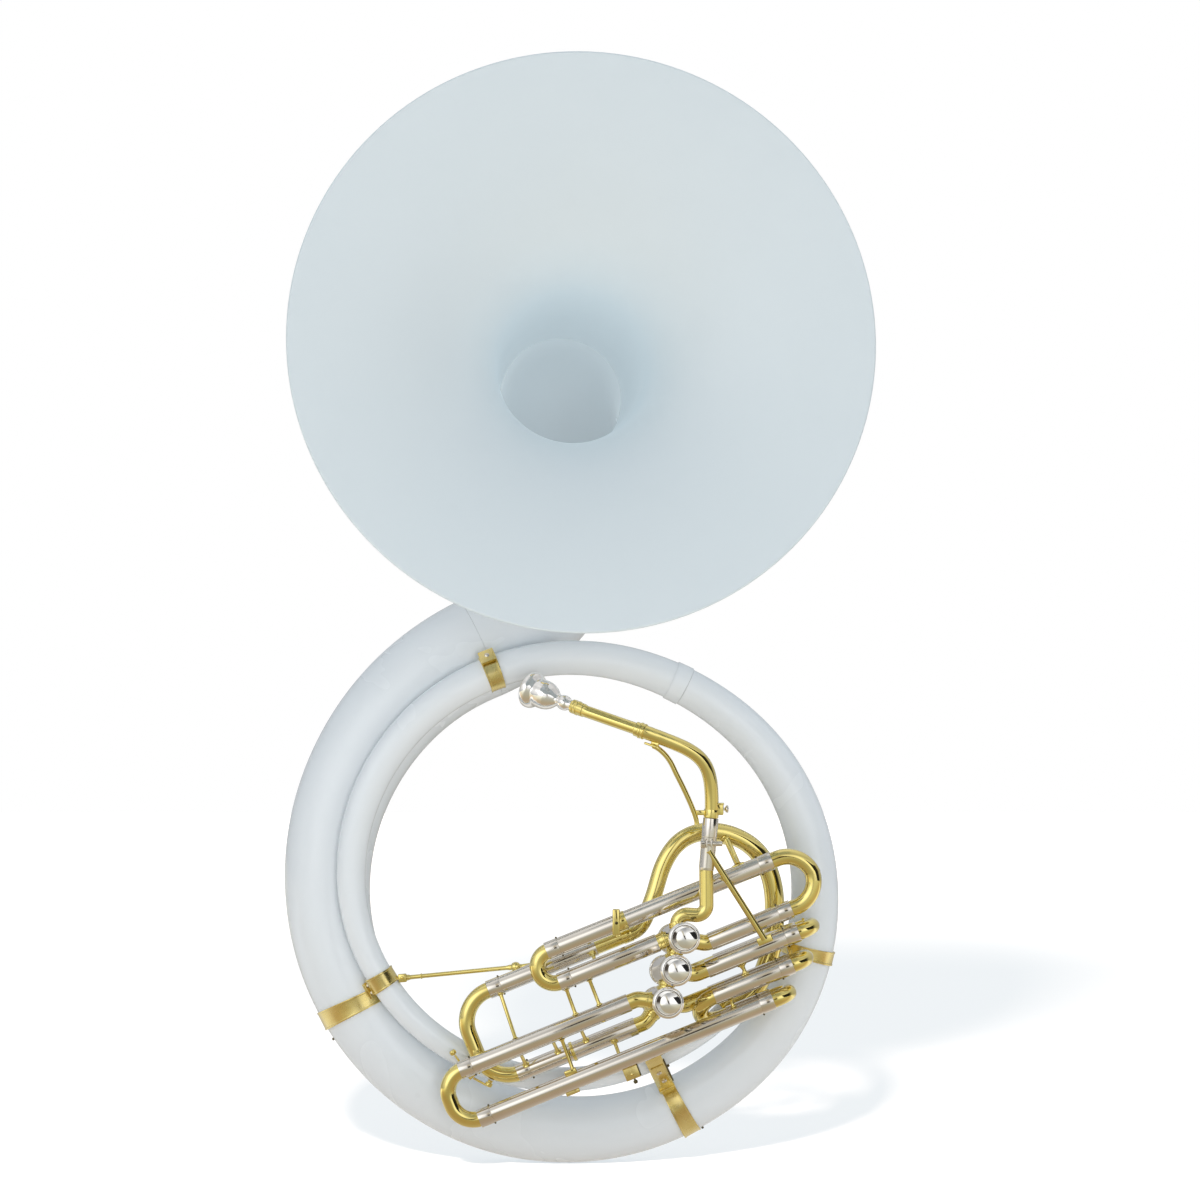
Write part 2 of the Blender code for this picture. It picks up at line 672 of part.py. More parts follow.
def make_bows(brass):
    """The seven slide bows."""
    make_slide_bow("first_right_bow", (FIRST_RIGHT_SEAM, FIRST_UPPER_ROW, FRONT),
                   (FIRST_RIGHT_SEAM, FIRST_RIGHT_ROW, FRONT), ALONG, 0.1830, 0.0326, (0.096, 0.096), brass)
    make_slide_bow("first_left_bow", (FIRST_LEFT_SEAM, FIRST_UPPER_ROW, FRONT),
                   (FIRST_LEFT_SEAM, FIRST_LEFT_ROW, FRONT), -ALONG, -0.1555, 0.0160, (0.094, 0.094), brass)
    make_slide_bow("second_bow", (SECOND_SEAM, SECOND_ROW, FRONT), (SECOND_SEAM, SECOND_ROW, BACK),
                   ALONG, 0.1612, 0.0140, (0.094, 0.094), brass)
    make_slide_bow("third_left_bow", (THIRD_LEFT_SEAM, THIRD_UPPER_ROW, FRONT),
                   (THIRD_LEFT_SEAM, THIRD_LOWER_ROW, FRONT), -ALONG, -0.3095, 0.0215, (0.130, 0.130), brass)
    make_slide_bow("third_lower_bow", (THIRD_LOWER_SEAM, THIRD_LOWER_ROW, FRONT),
                   (THIRD_LOWER_SEAM, THIRD_LOWER_ROW, BACK), ALONG, 0.1090, 0.0165, (0.074, 0.049), brass)
    make_slide_bow("third_upper_bow", (THIRD_UPPER_SEAM, THIRD_RETURN_ROW, FRONT),
                   (THIRD_UPPER_SEAM, THIRD_RETURN_ROW, BACK), ALONG, 0.1430, 0.0165, (0.082, 0.094), brass)
    return make_slide_bow("main_slide_bow", (MAIN_UPPER_SEAM, MAIN_UPPER_ROW, BACK),
                          (MAIN_LOWER_SEAM, MAIN_LOWER_ROW, BACK), -ALONG, MAIN_FAR, MAIN_BEND,
                          (0.127, 0.127), brass, steps=6)


def sleeve_tube(name, corners, bend, sleeve, material, second=0.0):
    """A fixed outer tube: a collar and a sleeve at its open end, then pipe, and a second sleeve if given.

    The sleeve overlaps the pipe, so that the wall is whole where the tube steps down.
    """
    stations = route(corners, bend)
    total = path_length(stations)
    collar = (COLLAR_LENGTH, COLLAR_RADIUS, SLEEVE_BORE)
    overlap = (SLEEVE_OVERLAP, SLEEVE_RADIUS, TUBE_BORE)
    lengths = [collar, (sleeve - COLLAR_LENGTH - SLEEVE_OVERLAP, SLEEVE_RADIUS, SLEEVE_BORE), overlap,
               (total - sleeve - second, TUBE_RADIUS, TUBE_BORE)]
    if second:
        lengths += [overlap, (second - COLLAR_LENGTH - SLEEVE_OVERLAP, SLEEVE_RADIUS, SLEEVE_BORE), collar]
    return finish(name, hollow(sections(stations, lengths)), material)


def straight_sleeve(name, start, end, material):
    """A straight outer tube, open at both ends for the slides."""
    stations = [(start, (end - start).normalized()), (end, (end - start).normalized())]
    collar = (COLLAR_LENGTH, COLLAR_RADIUS, SLEEVE_BORE)
    middle = (end - start).length - 2.0 * COLLAR_LENGTH
    lengths = [collar, (middle, SLEEVE_RADIUS, SLEEVE_BORE), collar]
    return finish(name, hollow(sections(stations, lengths)), material)


def into_valve(number, corner, stop):
    """The last point of a tube that runs from a corner into a casing, square to the valve's axis."""
    centre = valve_point(number, corner.y - RING_CENTRE.y)
    inward = centre - corner
    inward -= VALVE_AXIS * inward.dot(VALVE_AXIS)
    return corner + inward.normalized() * (inward.length - stop)


def valve_ports():
    """For each tube that enters a valve: the valve, the corner before it and the point short of the axis."""
    corners = {
        "first_left_port_tube": (1, slide_point(-0.0120, FIRST_LEFT_ROW, FRONT)),
        "first_right_port_tube": (1, slide_point(0.0400, FIRST_RIGHT_ROW, FRONT)),
        "second_front_tube": (2, slide_point(0.0140, SECOND_ROW, FRONT)),
        "second_back_tube": (2, slide_point(0.0100, SECOND_ROW, BACK)),
        "third_upper_tube": (3, slide_point(-0.0600, THIRD_UPPER_ROW, FRONT)),
        "third_back_tube": (3, slide_point(-0.0120, THIRD_RETURN_ROW, BACK)),
        "main_lower_tube": (3, slide_point(-0.0620, MAIN_LOWER_ROW, BACK)),
    }
    return corners


def make_fixed_tubes(nickel, brass):
    """The outer tubes of the slides and the pipes between them and the valves."""
    ports = valve_ports()
    tubes = {}
    tubes["first_upper_tube"] = straight_sleeve(
        "first_upper_tube", slide_point(FIRST_LEFT_SEAM, FIRST_UPPER_ROW, FRONT),
        slide_point(FIRST_RIGHT_SEAM, FIRST_UPPER_ROW, FRONT), nickel)
    tubes["first_left_port_tube"] = sleeve_tube(
        "first_left_port_tube", [slide_point(FIRST_LEFT_SEAM, FIRST_LEFT_ROW, FRONT),
                                 slide_point(0.0005, FIRST_LEFT_ROW, FRONT)], PORT_BEND, 0.102, nickel)
    starts = (
        ("first_right_port_tube", (FIRST_RIGHT_SEAM, FIRST_RIGHT_ROW, FRONT), 0.102),
        ("second_front_tube", (SECOND_SEAM, SECOND_ROW, FRONT), 0.105),
        ("second_back_tube", (SECOND_SEAM, SECOND_ROW, BACK), 0.105),
        ("third_upper_tube", (THIRD_LEFT_SEAM, THIRD_UPPER_ROW, FRONT), 0.205),
        ("third_back_tube", (THIRD_UPPER_SEAM, THIRD_RETURN_ROW, BACK), 0.104),
        ("main_lower_tube", (MAIN_LOWER_SEAM, MAIN_LOWER_ROW, BACK), 0.136),
    )
    for name, start, sleeve in starts:
        number, corner = ports[name]
        corners = [slide_point(*start), corner, into_valve(number, corner, 0.0125)]
        tubes[name] = sleeve_tube(name, corners, PORT_BEND, sleeve, nickel)
    tubes["third_lower_tube"] = straight_sleeve(
        "third_lower_tube", slide_point(THIRD_LEFT_SEAM, THIRD_LOWER_ROW, FRONT),
        slide_point(THIRD_LOWER_SEAM, THIRD_LOWER_ROW, FRONT), nickel)
    turn_back = [slide_point(THIRD_LOWER_SEAM, THIRD_LOWER_ROW, BACK),
                 slide_point(0.0025, THIRD_LOWER_ROW, BACK), slide_point(0.0025, THIRD_RETURN_ROW, FRONT),
                 slide_point(THIRD_UPPER_SEAM, THIRD_RETURN_ROW, FRONT)]
    tubes["third_return_tube"] = sleeve_tube("third_return_tube", turn_back, 0.0227, 0.0555, brass, 0.0915)
    upper = [slide_point(MAIN_UPPER_SEAM, MAIN_UPPER_ROW, BACK), slide_point(ARCH_SEAM, MAIN_UPPER_ROW, BACK)]
    tubes["main_upper_tube"] = sleeve_tube("main_upper_tube", upper, PORT_BEND, 0.138, nickel)
    return tubes


def make_arch(brass):
    """The conical pipe from the main slide over the top to the thin branch."""
    start = slide_point(ARCH_SEAM + JOINT_GAP, MAIN_UPPER_ROW, BACK)
    end = coil_point(COIL_END) + coil_direction(COIL_END) * JOINT_GAP
    spine = [start, ring_point(0.0950, -0.0730, -0.0240), ring_point(0.1090, -0.0710, 0.0080),
             ring_point(0.1200, -0.0680, 0.0430), ring_point(0.1330, -0.0650, 0.0660),
             ring_point(0.1500, -0.0620, 0.0800), ring_point(0.1720, -0.0600, 0.0860),
             ring_point(0.1990, -0.0570, 0.0830), ring_point(0.2250, -0.0540, 0.0700),
             ring_point(0.2430, -0.0510, 0.0490), ring_point(0.2530, -0.0490, 0.0200),
             ring_point(0.2550, -0.0470, -0.0150), ring_point(0.2510, -0.0450, -0.0560),
             ring_point(0.2380, -0.0440, -0.0930), ring_point(0.2210, -0.0435, -0.1150), end]
    parts = []
    last = len(spine) - 1
    for index, point in enumerate(spine):
        along = spine[min(index + 1, last)] - spine[max(index - 1, 0)]
        if index == 0:
            along = ALONG.copy()
        if index == last:
            along = -coil_direction(COIL_END)
        outer = TUBE_RADIUS + 0.0030 * index / last
        parts.append((point, along.normalized(), outer, outer - 0.0009))
    finish("arch_pipe", hollow(parts), brass)


def make_piston(number, steel):
    """The piston: a hollow cup on its stem."""
    top = valve_point(number, PISTON_FRONT)
    length = (valve_point(number, PISTON_REAR) - top).length
    stem = (top - valve_point(number, BUTTON_FRONT + BUTTON_THICKNESS)).length - JOINT_GAP
    hollow_radius = PISTON_RADIUS - PISTON_WALL
    profile = [(0.0040, hollow_radius), (length, hollow_radius), (length, PISTON_RADIUS),
               (0.0, PISTON_RADIUS), (0.0, STEM_RADIUS), (-stem, STEM_RADIUS)]
    bm = turned(top, -VALVE_AXIS, profile, ALONG, VALVE_SIDES)
    return finish("piston_%d" % number, bm, steel, origin=top)


def make_spring(number, steel):
    """The coiled spring between the piston and the bottom cap."""
    back = -VALVE_AXIS
    start = valve_point(number, PISTON_REAR) + back * 0.0014
    end = valve_point(number, CASING_REAR) - back * 0.0012
    free = (end - start).length
    frame = placed(start, back, ALONG)
    points = SPRING_TURNS * SPRING_STEPS
    spots = []
    for index in range(points + 1):
        turn = 2.0 * math.pi * index / SPRING_STEPS
        x = SPRING_RADIUS * math.cos(turn)
        y = SPRING_RADIUS * math.sin(turn)
        spots.append(frame @ Vector((x, y, free * index / points)))
    stations = []
    for index, spot in enumerate(spots):
        along = spots[min(index + 1, points)] - spots[max(index - 1, 0)]
        stations.append((spot, along.normalized()))
    bm = solid(stations, [SPRING_WIRE] * len(stations), back, sides=4)
    finish("valve_spring_%d" % number, bm, steel)


def make_caps(number, silver):
    """The two caps of a valve and its finger button."""
    front = valve_point(number, CASING_FRONT)
    rear = valve_point(number, CASING_REAR)
    back = -VALVE_AXIS
    bore = CASING_RADIUS + JOINT_GAP
    cap = [(-0.0060, 0.0160), (-0.0048, CAP_RADIUS), (0.0050, CAP_RADIUS), (0.0050, bore),
           (-0.0003, bore), (-0.0003, 0.0110), (-0.0040, 0.0052), (-0.0052, 0.0052)]
    finish("top_cap_%d" % number, turned_ring(front, back, cap, ALONG, VALVE_SIDES), silver)
    foot = [(-0.0070, bore), (-0.0070, CAP_RADIUS), (0.0050, CAP_RADIUS), (0.0065, 0.0120),
            (0.0065, 0.0030), (0.0020, 0.0030), (0.0003, 0.0110), (0.0003, bore)]
    finish("bottom_cap_%d" % number, turned_ring(rear, back, foot, ALONG, VALVE_SIDES), silver)
    under = valve_point(number, BUTTON_FRONT + BUTTON_THICKNESS)
    disc = [(0.0, 0.0052), (0.0012, BUTTON_RADIUS), (0.0034, BUTTON_RADIUS), (0.0045, 0.0100),
            (0.0038, 0.0060)]
    finish("finger_button_%d" % number, turned(under, VALVE_AXIS, disc, ALONG, VALVE_SIDES), silver,
           origin=valve_point(number, PISTON_FRONT))


def make_casing(number, nickel):
    """A valve's casing, and the shape that clears the space round it."""
    front = valve_point(number, CASING_FRONT)
    length = (valve_point(number, CASING_REAR) - front).length
    section = [(0.0, CASING_RADIUS), (length, CASING_RADIUS), (length, CASING_BORE), (0.0, CASING_BORE)]
    casing = finish("valve_casing_%d" % number,
                    turned_ring(front, -VALVE_AXIS, section, ALONG, VALVE_SIDES), nickel)
    outline = [(0.0, CASING_RADIUS + JOINT_GAP), (length, CASING_RADIUS + JOINT_GAP)]
    space = finish("casing_clearance_%d" % number,
                   turned(front, -VALVE_AXIS, outline, ALONG, VALVE_SIDES), nickel)
    return casing, space


def make_knuckle(number, casings, spaces, brass):
    """The short tube between two neighbouring valves, and its ports."""
    start = valve_point(number, KNUCKLE_DEPTH)
    end = valve_point(number + 1, KNUCKLE_DEPTH)
    along = (end - start).normalized()
    inset = along * (CASING_RADIUS - 0.0045)
    parts = [(start + inset, along, TUBE_RADIUS, TUBE_BORE), (end - inset, along, TUBE_RADIUS, TUBE_BORE)]
    knuckle = finish("valve_knuckle_%d" % number, hollow(parts, VALVE_AXIS), brass)
    hole = rod("knuckle_port_%d" % number, start + along * 0.008, end - along * 0.008, PORT_RADIUS, brass)
    for valve in (number, number + 1):
        combine(knuckle, spaces[valve], "DIFFERENCE")
        combine(casings[valve], hole, "DIFFERENCE")


def make_valves(nickel, brass, silver, steel, tubes):
    """The three valves, their knuckles and the ports cut through casings and pistons."""
    casings = {}
    spaces = {}
    pistons = {}
    for number in (1, 2, 3):
        casings[number], spaces[number] = make_casing(number, nickel)
        pistons[number] = make_piston(number, steel)
        make_spring(number, steel)
        make_caps(number, silver)
    for number in (1, 2):
        make_knuckle(number, casings, spaces, brass)
    for name, (number, corner) in valve_ports().items():
        combine(tubes[name], spaces[number], "DIFFERENCE")
        tip = into_valve(number, corner, 0.008)
        if name == "first_left_port_tube":
            tip = slide_point(0.0050, FIRST_LEFT_ROW, FRONT)
        combine(casings[number], rod("port_of_" + name, corner, tip, PORT_RADIUS, brass), "DIFFERENCE")
        inward = (tip - corner).normalized()
        centre = tip + inward * 0.008
        window = rod("window_of_" + name, centre - inward * 0.02, centre, PISTON_WINDOW_RADIUS, brass)
        combine(pistons[number], window, "DIFFERENCE")
    return casings, spaces


def make_leadpipe(nickel, casings, spaces):
    """The receiver with its clamp ears, and the pipe from it down into the first valve."""
    into = valve_point(1, LEADPIPE_PORT)
    entry = into + Vector((-0.0070, 0.0, 0.0245))
    corners = [RECEIVER_TOP, RECEIVER_FOOT, ring_point(0.1715, -0.131, -0.0090),
               entry + Vector((-0.0010, 0.0, 0.0030)), into + (entry - into).normalized() * 0.0125]
    stations = route(corners, 0.0110)
    total = path_length(stations)
    lengths = [(0.030, RECEIVER_RADIUS, 0.0070), (0.031, RECEIVER_RADIUS, LEADPIPE_BORE),
               (total - 0.061, 0.0080, LEADPIPE_BORE)]
    pipe = finish("leadpipe", hollow(sections(stations, lengths)), nickel)
    combine(pipe, spaces[1], "DIFFERENCE")
    port = rod("leadpipe_port", entry, into + (entry - into).normalized() * 0.008, 0.0060, nickel)
    combine(casings[1], port, "DIFFERENCE")
    return pipe


def clamp_centre():
    """The middle of the clamp screw, in front of the receiver."""
    share = (RECEIVER_TOP.z - RING_CENTRE.z - CLAMP_HEIGHT) / (RECEIVER_TOP.z - RECEIVER_FOOT.z)
    return RECEIVER_TOP.lerp(RECEIVER_FOOT, share) + Vector((0.0, CLAMP_DEPTH, 0.0))


def make_clamp(pipe, nickel):
    """The ears on the receiver and the screw that draws them together round the neck."""
    centre = clamp_centre()
    hole = plug("clamp_hole", centre, RIGHT, 0.0023, 0.012, nickel, UP)
    for number, offset in ((1, -0.0028), (2, 0.0028)):
        ear = block("clamp_ear_%d" % number, centre + Vector((offset, 0.0013, 0.0)), (RIGHT, -FORWARD, UP),
                    (0.0022, 0.0106, 0.0084), nickel)
        combine(ear, hole, "DIFFERENCE")
        combine(pipe, ear, "UNION")
    profile = [(-0.0100, 0.0046), (-0.0092, 0.0054), (-0.0050, 0.0054), (-0.0043, 0.0046),
               (-0.0043, 0.0019), (0.0043, 0.0019), (0.0043, 0.0030), (0.0150, 0.0030), (0.0158, 0.0022)]
    bm = turned(centre, RIGHT, profile, UP, sides=10)
    finish("neck_clamp_screw", bm, nickel, origin=centre)


def make_neck(brass):
    """The neck with its brace and lyre socket, and the lyre screw."""
    down = (RECEIVER_FOOT - RECEIVER_TOP).normalized()
    along = (BIT_BEND - NECK_TIP).normalized()
    corners = [RECEIVER_TOP + down * 0.0254, RECEIVER_TOP - down * 0.028,
               ring_point(0.1735, -0.1370, 0.1620), ring_point(0.1560, -0.1470, 0.1860),
               NECK_TIP - along * 0.028, NECK_TIP]
    stations = route(corners, 0.028)
    total = path_length(stations)
    lengths = [(0.0257, 0.0064, 0.0052), (0.012, 0.0086, 0.0052), (total - 0.0377, 0.0076, 0.0052)]
    neck = finish("neck", hollow(sections(stations, lengths)), brass, origin=RECEIVER_TOP)
    stay = route([ring_point(0.1055, -0.1470, 0.1980), ring_point(0.1250, -0.1440, 0.1750),
                  ring_point(0.1540, -0.1360, 0.1320), ring_point(0.1690, -0.1310, 0.1120)], 0.030)
    combine(neck, finish("neck_brace", solid(stay, [0.0028] * len(stay)), brass), "UNION")
    socket = ring_point(0.1858, -0.131, LYRE_HEIGHT)
    holder = block("lyre_socket", socket, (RIGHT, -FORWARD, UP), (0.0110, 0.0100, 0.0140), brass)
    combine(holder, plug("neck_bore", socket - RIGHT * 0.0112, UP, 0.0066, 0.02, brass), "DIFFERENCE")
    combine(neck, holder, "UNION")
    face = socket + RIGHT * (0.0055 + JOINT_GAP)
    screw = [(0.0, 0.0018), (0.0014, 0.0018), (0.0014, 0.0046), (0.0048, 0.0046), (0.0056, 0.0034)]
    finish("lyre_screw", turned(face, RIGHT, screw, UP, sides=10), brass, origin=face)


def make_bit_and_mouthpiece(brass, silver):
    """The short bent bit at the neck's end and the mouthpiece in it."""
    along = (BIT_BEND - NECK_TIP).normalized()
    stations = route([NECK_TIP + along * JOINT_GAP, BIT_BEND, BIT_END], 0.030)
    total = path_length(stations)
    lengths = [(0.006, 0.0080, 0.0048), (total - 0.026, 0.0066, 0.0048), (0.002, 0.0080, 0.0048),
               (0.018, 0.0080, 0.0061)]
    finish("tuning_bit", hollow(sections(stations, lengths)), brass, origin=NECK_TIP)
    section = [(-0.016, 0.0048), (0.0, 0.0058), (0.012, 0.0068), (0.016, 0.0090), (0.021, 0.0080),
               (0.028, 0.0110), (0.036, 0.0175), (0.050, 0.0205), (0.058, 0.0235), (0.065, 0.0240),
               (0.067, 0.0215), (0.065, 0.0165), (0.050, 0.0150), (0.036, 0.0080), (0.030, 0.0030),
               (-0.016, 0.0034)]
    towards_lips = (BIT_END - BIT_BEND).normalized()
    bm = turned_ring(BIT_END, towards_lips, section, FORWARD, 20)
    finish("mouthpiece", bm, silver, origin=BIT_END)


def make_brace(number, tube, own, other, material):
    """A rod soldered to one tube that ends just short of the next one.

    Each rod is turned a little further than the last, so that no two have their corners in line.
    """
    name = "brace_%d" % number
    start = slide_point(*own)
    end = slide_point(*other)
    side = ALONG + ALONG.cross(end - start).normalized() * 0.06 * number
    brace = rod(name, start, end, BRACE_RADIUS, material, side)
    root = plug(name + "_root", start, ALONG, WALL_MIDDLE, ROOT_LENGTH, material)
    combine(brace, root, "DIFFERENCE")
    rest = plug(name + "_rest", end, ALONG, TUBE_CLEARANCE, ROOT_LENGTH, material)
    combine(brace, rest, "DIFFERENCE")
    combine(tube, brace, "UNION")


def make_braces(tubes, brass):
    """The rods that hold the fixed tubes together."""
    braces = (
        ("main_upper_tube", (-0.2092, MAIN_UPPER_ROW, BACK), (-0.2120, THIRD_UPPER_ROW, FRONT)),
        ("first_left_port_tube", (-0.1332, FIRST_LEFT_ROW, FRONT), (-0.1350, THIRD_UPPER_ROW, FRONT)),
        ("first_left_port_tube", (-0.1040, FIRST_LEFT_ROW, FRONT), (-0.1045, THIRD_UPPER_ROW, FRONT)),
        ("third_upper_tube", (-0.2130, THIRD_UPPER_ROW, FRONT), (-0.2130, MAIN_LOWER_ROW, BACK)),
        ("third_upper_tube", (-0.1720, THIRD_UPPER_ROW, FRONT), (-0.1720, MAIN_LOWER_ROW, BACK)),
        ("third_upper_tube", (-0.1360, THIRD_UPPER_ROW, FRONT), (-0.1360, MAIN_LOWER_ROW, BACK)),
        ("third_upper_tube", (-0.1605, THIRD_UPPER_ROW, FRONT), (-0.1625, THIRD_LOWER_ROW, FRONT)),
        ("main_lower_tube", (-0.1050, MAIN_LOWER_ROW, BACK), (-0.1050, THIRD_LOWER_ROW, FRONT)),
        ("first_upper_tube", (-0.0520, FIRST_UPPER_ROW, FRONT), (-0.0540, MAIN_UPPER_ROW, BACK)),
        ("main_upper_tube", (-0.0900, MAIN_UPPER_ROW, BACK), (-0.0900, FIRST_LEFT_ROW, FRONT)),
        ("second_front_tube", (0.0700, SECOND_ROW, FRONT), (0.0700, THIRD_RETURN_ROW, FRONT)),
        ("third_return_tube", (0.0420, THIRD_RETURN_ROW, FRONT), (0.0420, THIRD_LOWER_ROW, FRONT)),
    )
    for number, (name, own, other) in enumerate(braces, 1):
        make_brace(number, tubes[name], own, other, brass)


def make_arch_stay(tube, brass):
    """The rod from the first valve's upper tube to the underside of the arch."""
    start = slide_point(0.1100, FIRST_UPPER_ROW, FRONT)
    end = ring_point(0.1945, -0.0573, 0.0830)
    stay = rod("arch_stay", start, end, 0.0022, brass)
    combine(stay, plug("arch_stay_root", start, ALONG, WALL_MIDDLE, ROOT_LENGTH, brass), "DIFFERENCE")
    pipe_way = (ring_point(0.1990, -0.0570, 0.0830) - ring_point(0.1720, -0.0600, 0.0860)).normalized()
    combine(stay, plug("arch_stay_rest", end, pipe_way, 0.0118, 0.012, brass), "DIFFERENCE")
    combine(tube, stay, "UNION")


def make_receiver_stay(pipe, brass):
    """The long rod from the receiver, in front of the first slide, to the second slide's tube."""
    way = (RECEIVER_FOOT - RECEIVER_TOP).normalized()
    start = RECEIVER_TOP + way * 0.0380
    foot = slide_point(0.1060, SECOND_ROW + 0.0085, FRONT) + FORWARD * 0.0135
    stay = rod("receiver_stay", start + FORWARD * 0.0060, foot, 0.0022, brass)
    pad = block("receiver_stay_pad", slide_point(0.1060, SECOND_ROW + 0.0080, FRONT) + FORWARD * 0.0100,
                (ALONG, ACROSS, -FORWARD), (0.0160, 0.0080, 0.0110), brass)
    combine(stay, pad, "UNION")
    rest = plug("receiver_stay_rest", slide_point(0.1060, SECOND_ROW, FRONT), ALONG,
                SLEEVE_RADIUS + JOINT_GAP, 0.012, brass)
    combine(stay, rest, "DIFFERENCE")
    combine(stay, plug("receiver_stay_root", start, way, 0.0082, 0.012, brass), "DIFFERENCE")
    combine(pipe, stay, "UNION")


def make_third_slide_lugs(tube, brass):
    """The two small feet under the third valve's lower tube."""
    for number, a, size in ((1, -0.0990, (0.0180, 0.0150, 0.0060)), (2, -0.1720, (0.0170, 0.0050, 0.0060))):
        centre = slide_point(a, THIRD_LOWER_ROW - WALL_MIDDLE - size[1] / 2.0 + 0.0010, FRONT)
        lug = block("third_slide_lug_%d" % number, centre, (ALONG, ACROSS, -FORWARD), size, brass)
        root = plug("lug_root_%d" % number, slide_point(a, THIRD_LOWER_ROW, FRONT), ALONG, WALL_MIDDLE,
                    0.015, brass)
        combine(lug, root, "DIFFERENCE")
        combine(tube, lug, "UNION")


def make_water_key(bow, brass):
    """The lever that closes the main bow's nozzle, on a pin between two posts."""
    pivot = slide_point(*KEY_PIVOT, BACK)
    cork = slide_point(*KEY_CORK, BACK)
    knob = slide_point(*KEY_KNOB, BACK)
    bend_centre = slide_point(MAIN_FAR + MAIN_BEND, MAIN_LOWER_ROW + MAIN_BEND, BACK)
    out = (pivot - bend_centre).normalized()
    axes = (out, out.cross(FORWARD), -FORWARD)
    foot = bend_centre + out * (MAIN_BEND + KEY_POST_FOOT)
    tip = pivot + out * 0.0022
    for number, offset in ((1, -KEY_POST_OFFSET), (2, KEY_POST_OFFSET)):
        post = block("key_post_%d" % number, (foot + tip) / 2.0 + FORWARD * offset, axes,
                     ((tip - foot).length, 0.0044, 0.0014), brass)
        combine(bow, post, "UNION")
    reach = FORWARD * (KEY_POST_OFFSET + 0.0012)
    combine(bow, rod("key_pin", pivot - reach, pivot + reach, KEY_PIN_RADIUS, brass, out), "UNION")
    drain = (cork - bend_centre).normalized()
    nozzle = rod("key_nozzle", bend_centre + drain * (MAIN_BEND + 0.0088), cork - drain * 0.0053, 0.0030,
                 brass, FORWARD)
    combine(bow, nozzle, "UNION")

    cup_profile = [(-0.0050, 0.0044), (-0.0010, 0.0044), (0.0002, 0.0030)]
    key = finish("water_key", turned(cork, drain, cup_profile, FORWARD, 10), brass, origin=pivot)
    half = KEY_POST_OFFSET - 0.0010
    barrel_profile = [(-half, KEY_BARREL_RADIUS), (half, KEY_BARREL_RADIUS)]
    combine(key, finish("key_barrel", turned(pivot, FORWARD, barrel_profile, out, 10), brass), "UNION")
    crook = cork - drain * 0.0014
    short_way = (crook - pivot).normalized()
    combine(key, rod("key_short_arm", crook, pivot + short_way * 0.0019, 0.0013, brass, FORWARD), "UNION")
    long_way = (knob - pivot).normalized()
    combine(key, rod("key_long_arm", pivot + long_way * 0.0019, knob, 0.0014, brass, FORWARD), "UNION")
    touch = [(-0.0030, 0.0030), (-0.0015, 0.0042), (0.0015, 0.0042), (0.0030, 0.0028)]
    combine(key, finish("key_touch", turned(knob, long_way, touch, FORWARD, 10), brass), "UNION")
    hole = rod("key_hole", pivot - reach, pivot + reach, KEY_PIN_RADIUS + JOINT_GAP, brass, out)
    combine(key, hole, "DIFFERENCE")


def main():
    """Build the whole instrument."""
    clear_scene()
    fiberglass = make_material("white_fiberglass", (0.80, 0.83, 0.87), 0.25, 0.0)
    brass = make_material("lacquered_brass", (0.80, 0.58, 0.18), 0.2, 1.0)
    nickel = make_material("nickel_silver", (0.66, 0.62, 0.56), 0.22, 1.0)
    silver = make_material("silver_plate", (0.86, 0.85, 0.83), 0.12, 1.0)
    steel = make_material("valve_steel", (0.55, 0.56, 0.58), 0.3, 1.0)
    make_bell(fiberglass)
    make_elbow(fiberglass)
    make_branches(fiberglass)
    make_bell_joint(brass)
    make_straps(brass)
    make_stay_rod(brass)
    main_bow = make_bows(brass)
    make_water_key(main_bow, brass)
    tubes = make_fixed_tubes(nickel, brass)
    make_braces(tubes, brass)
    make_arch(brass)
    make_arch_stay(tubes["first_upper_tube"], brass)
    make_third_slide_lugs(tubes["third_lower_tube"], brass)
    casings, spaces = make_valves(nickel, brass, silver, steel, tubes)
    pipe = make_leadpipe(nickel, casings, spaces)
    make_clamp(pipe, nickel)
    make_receiver_stay(pipe, brass)
    make_neck(brass)
    make_bit_and_mouthpiece(brass, silver)


main()
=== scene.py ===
# %% [markdown]
# # A fiberglass sousaphone
# A sousaphone is a bass horn that is worn. Its coil goes round the player, and the bell looks
# forward over the head. The measured frame holds every part at its real size, in metres, with
# the bell facing -Y and +Z up. This lesson dresses that frame: smooth shapes in place of the
# plain solids, a finish on each surface, a quiet studio and the camera.

# %% Load the frame
import json
import math

import bpy
import bmesh
from mathutils import Matrix, Vector
from mathutils.kdtree import KDTree


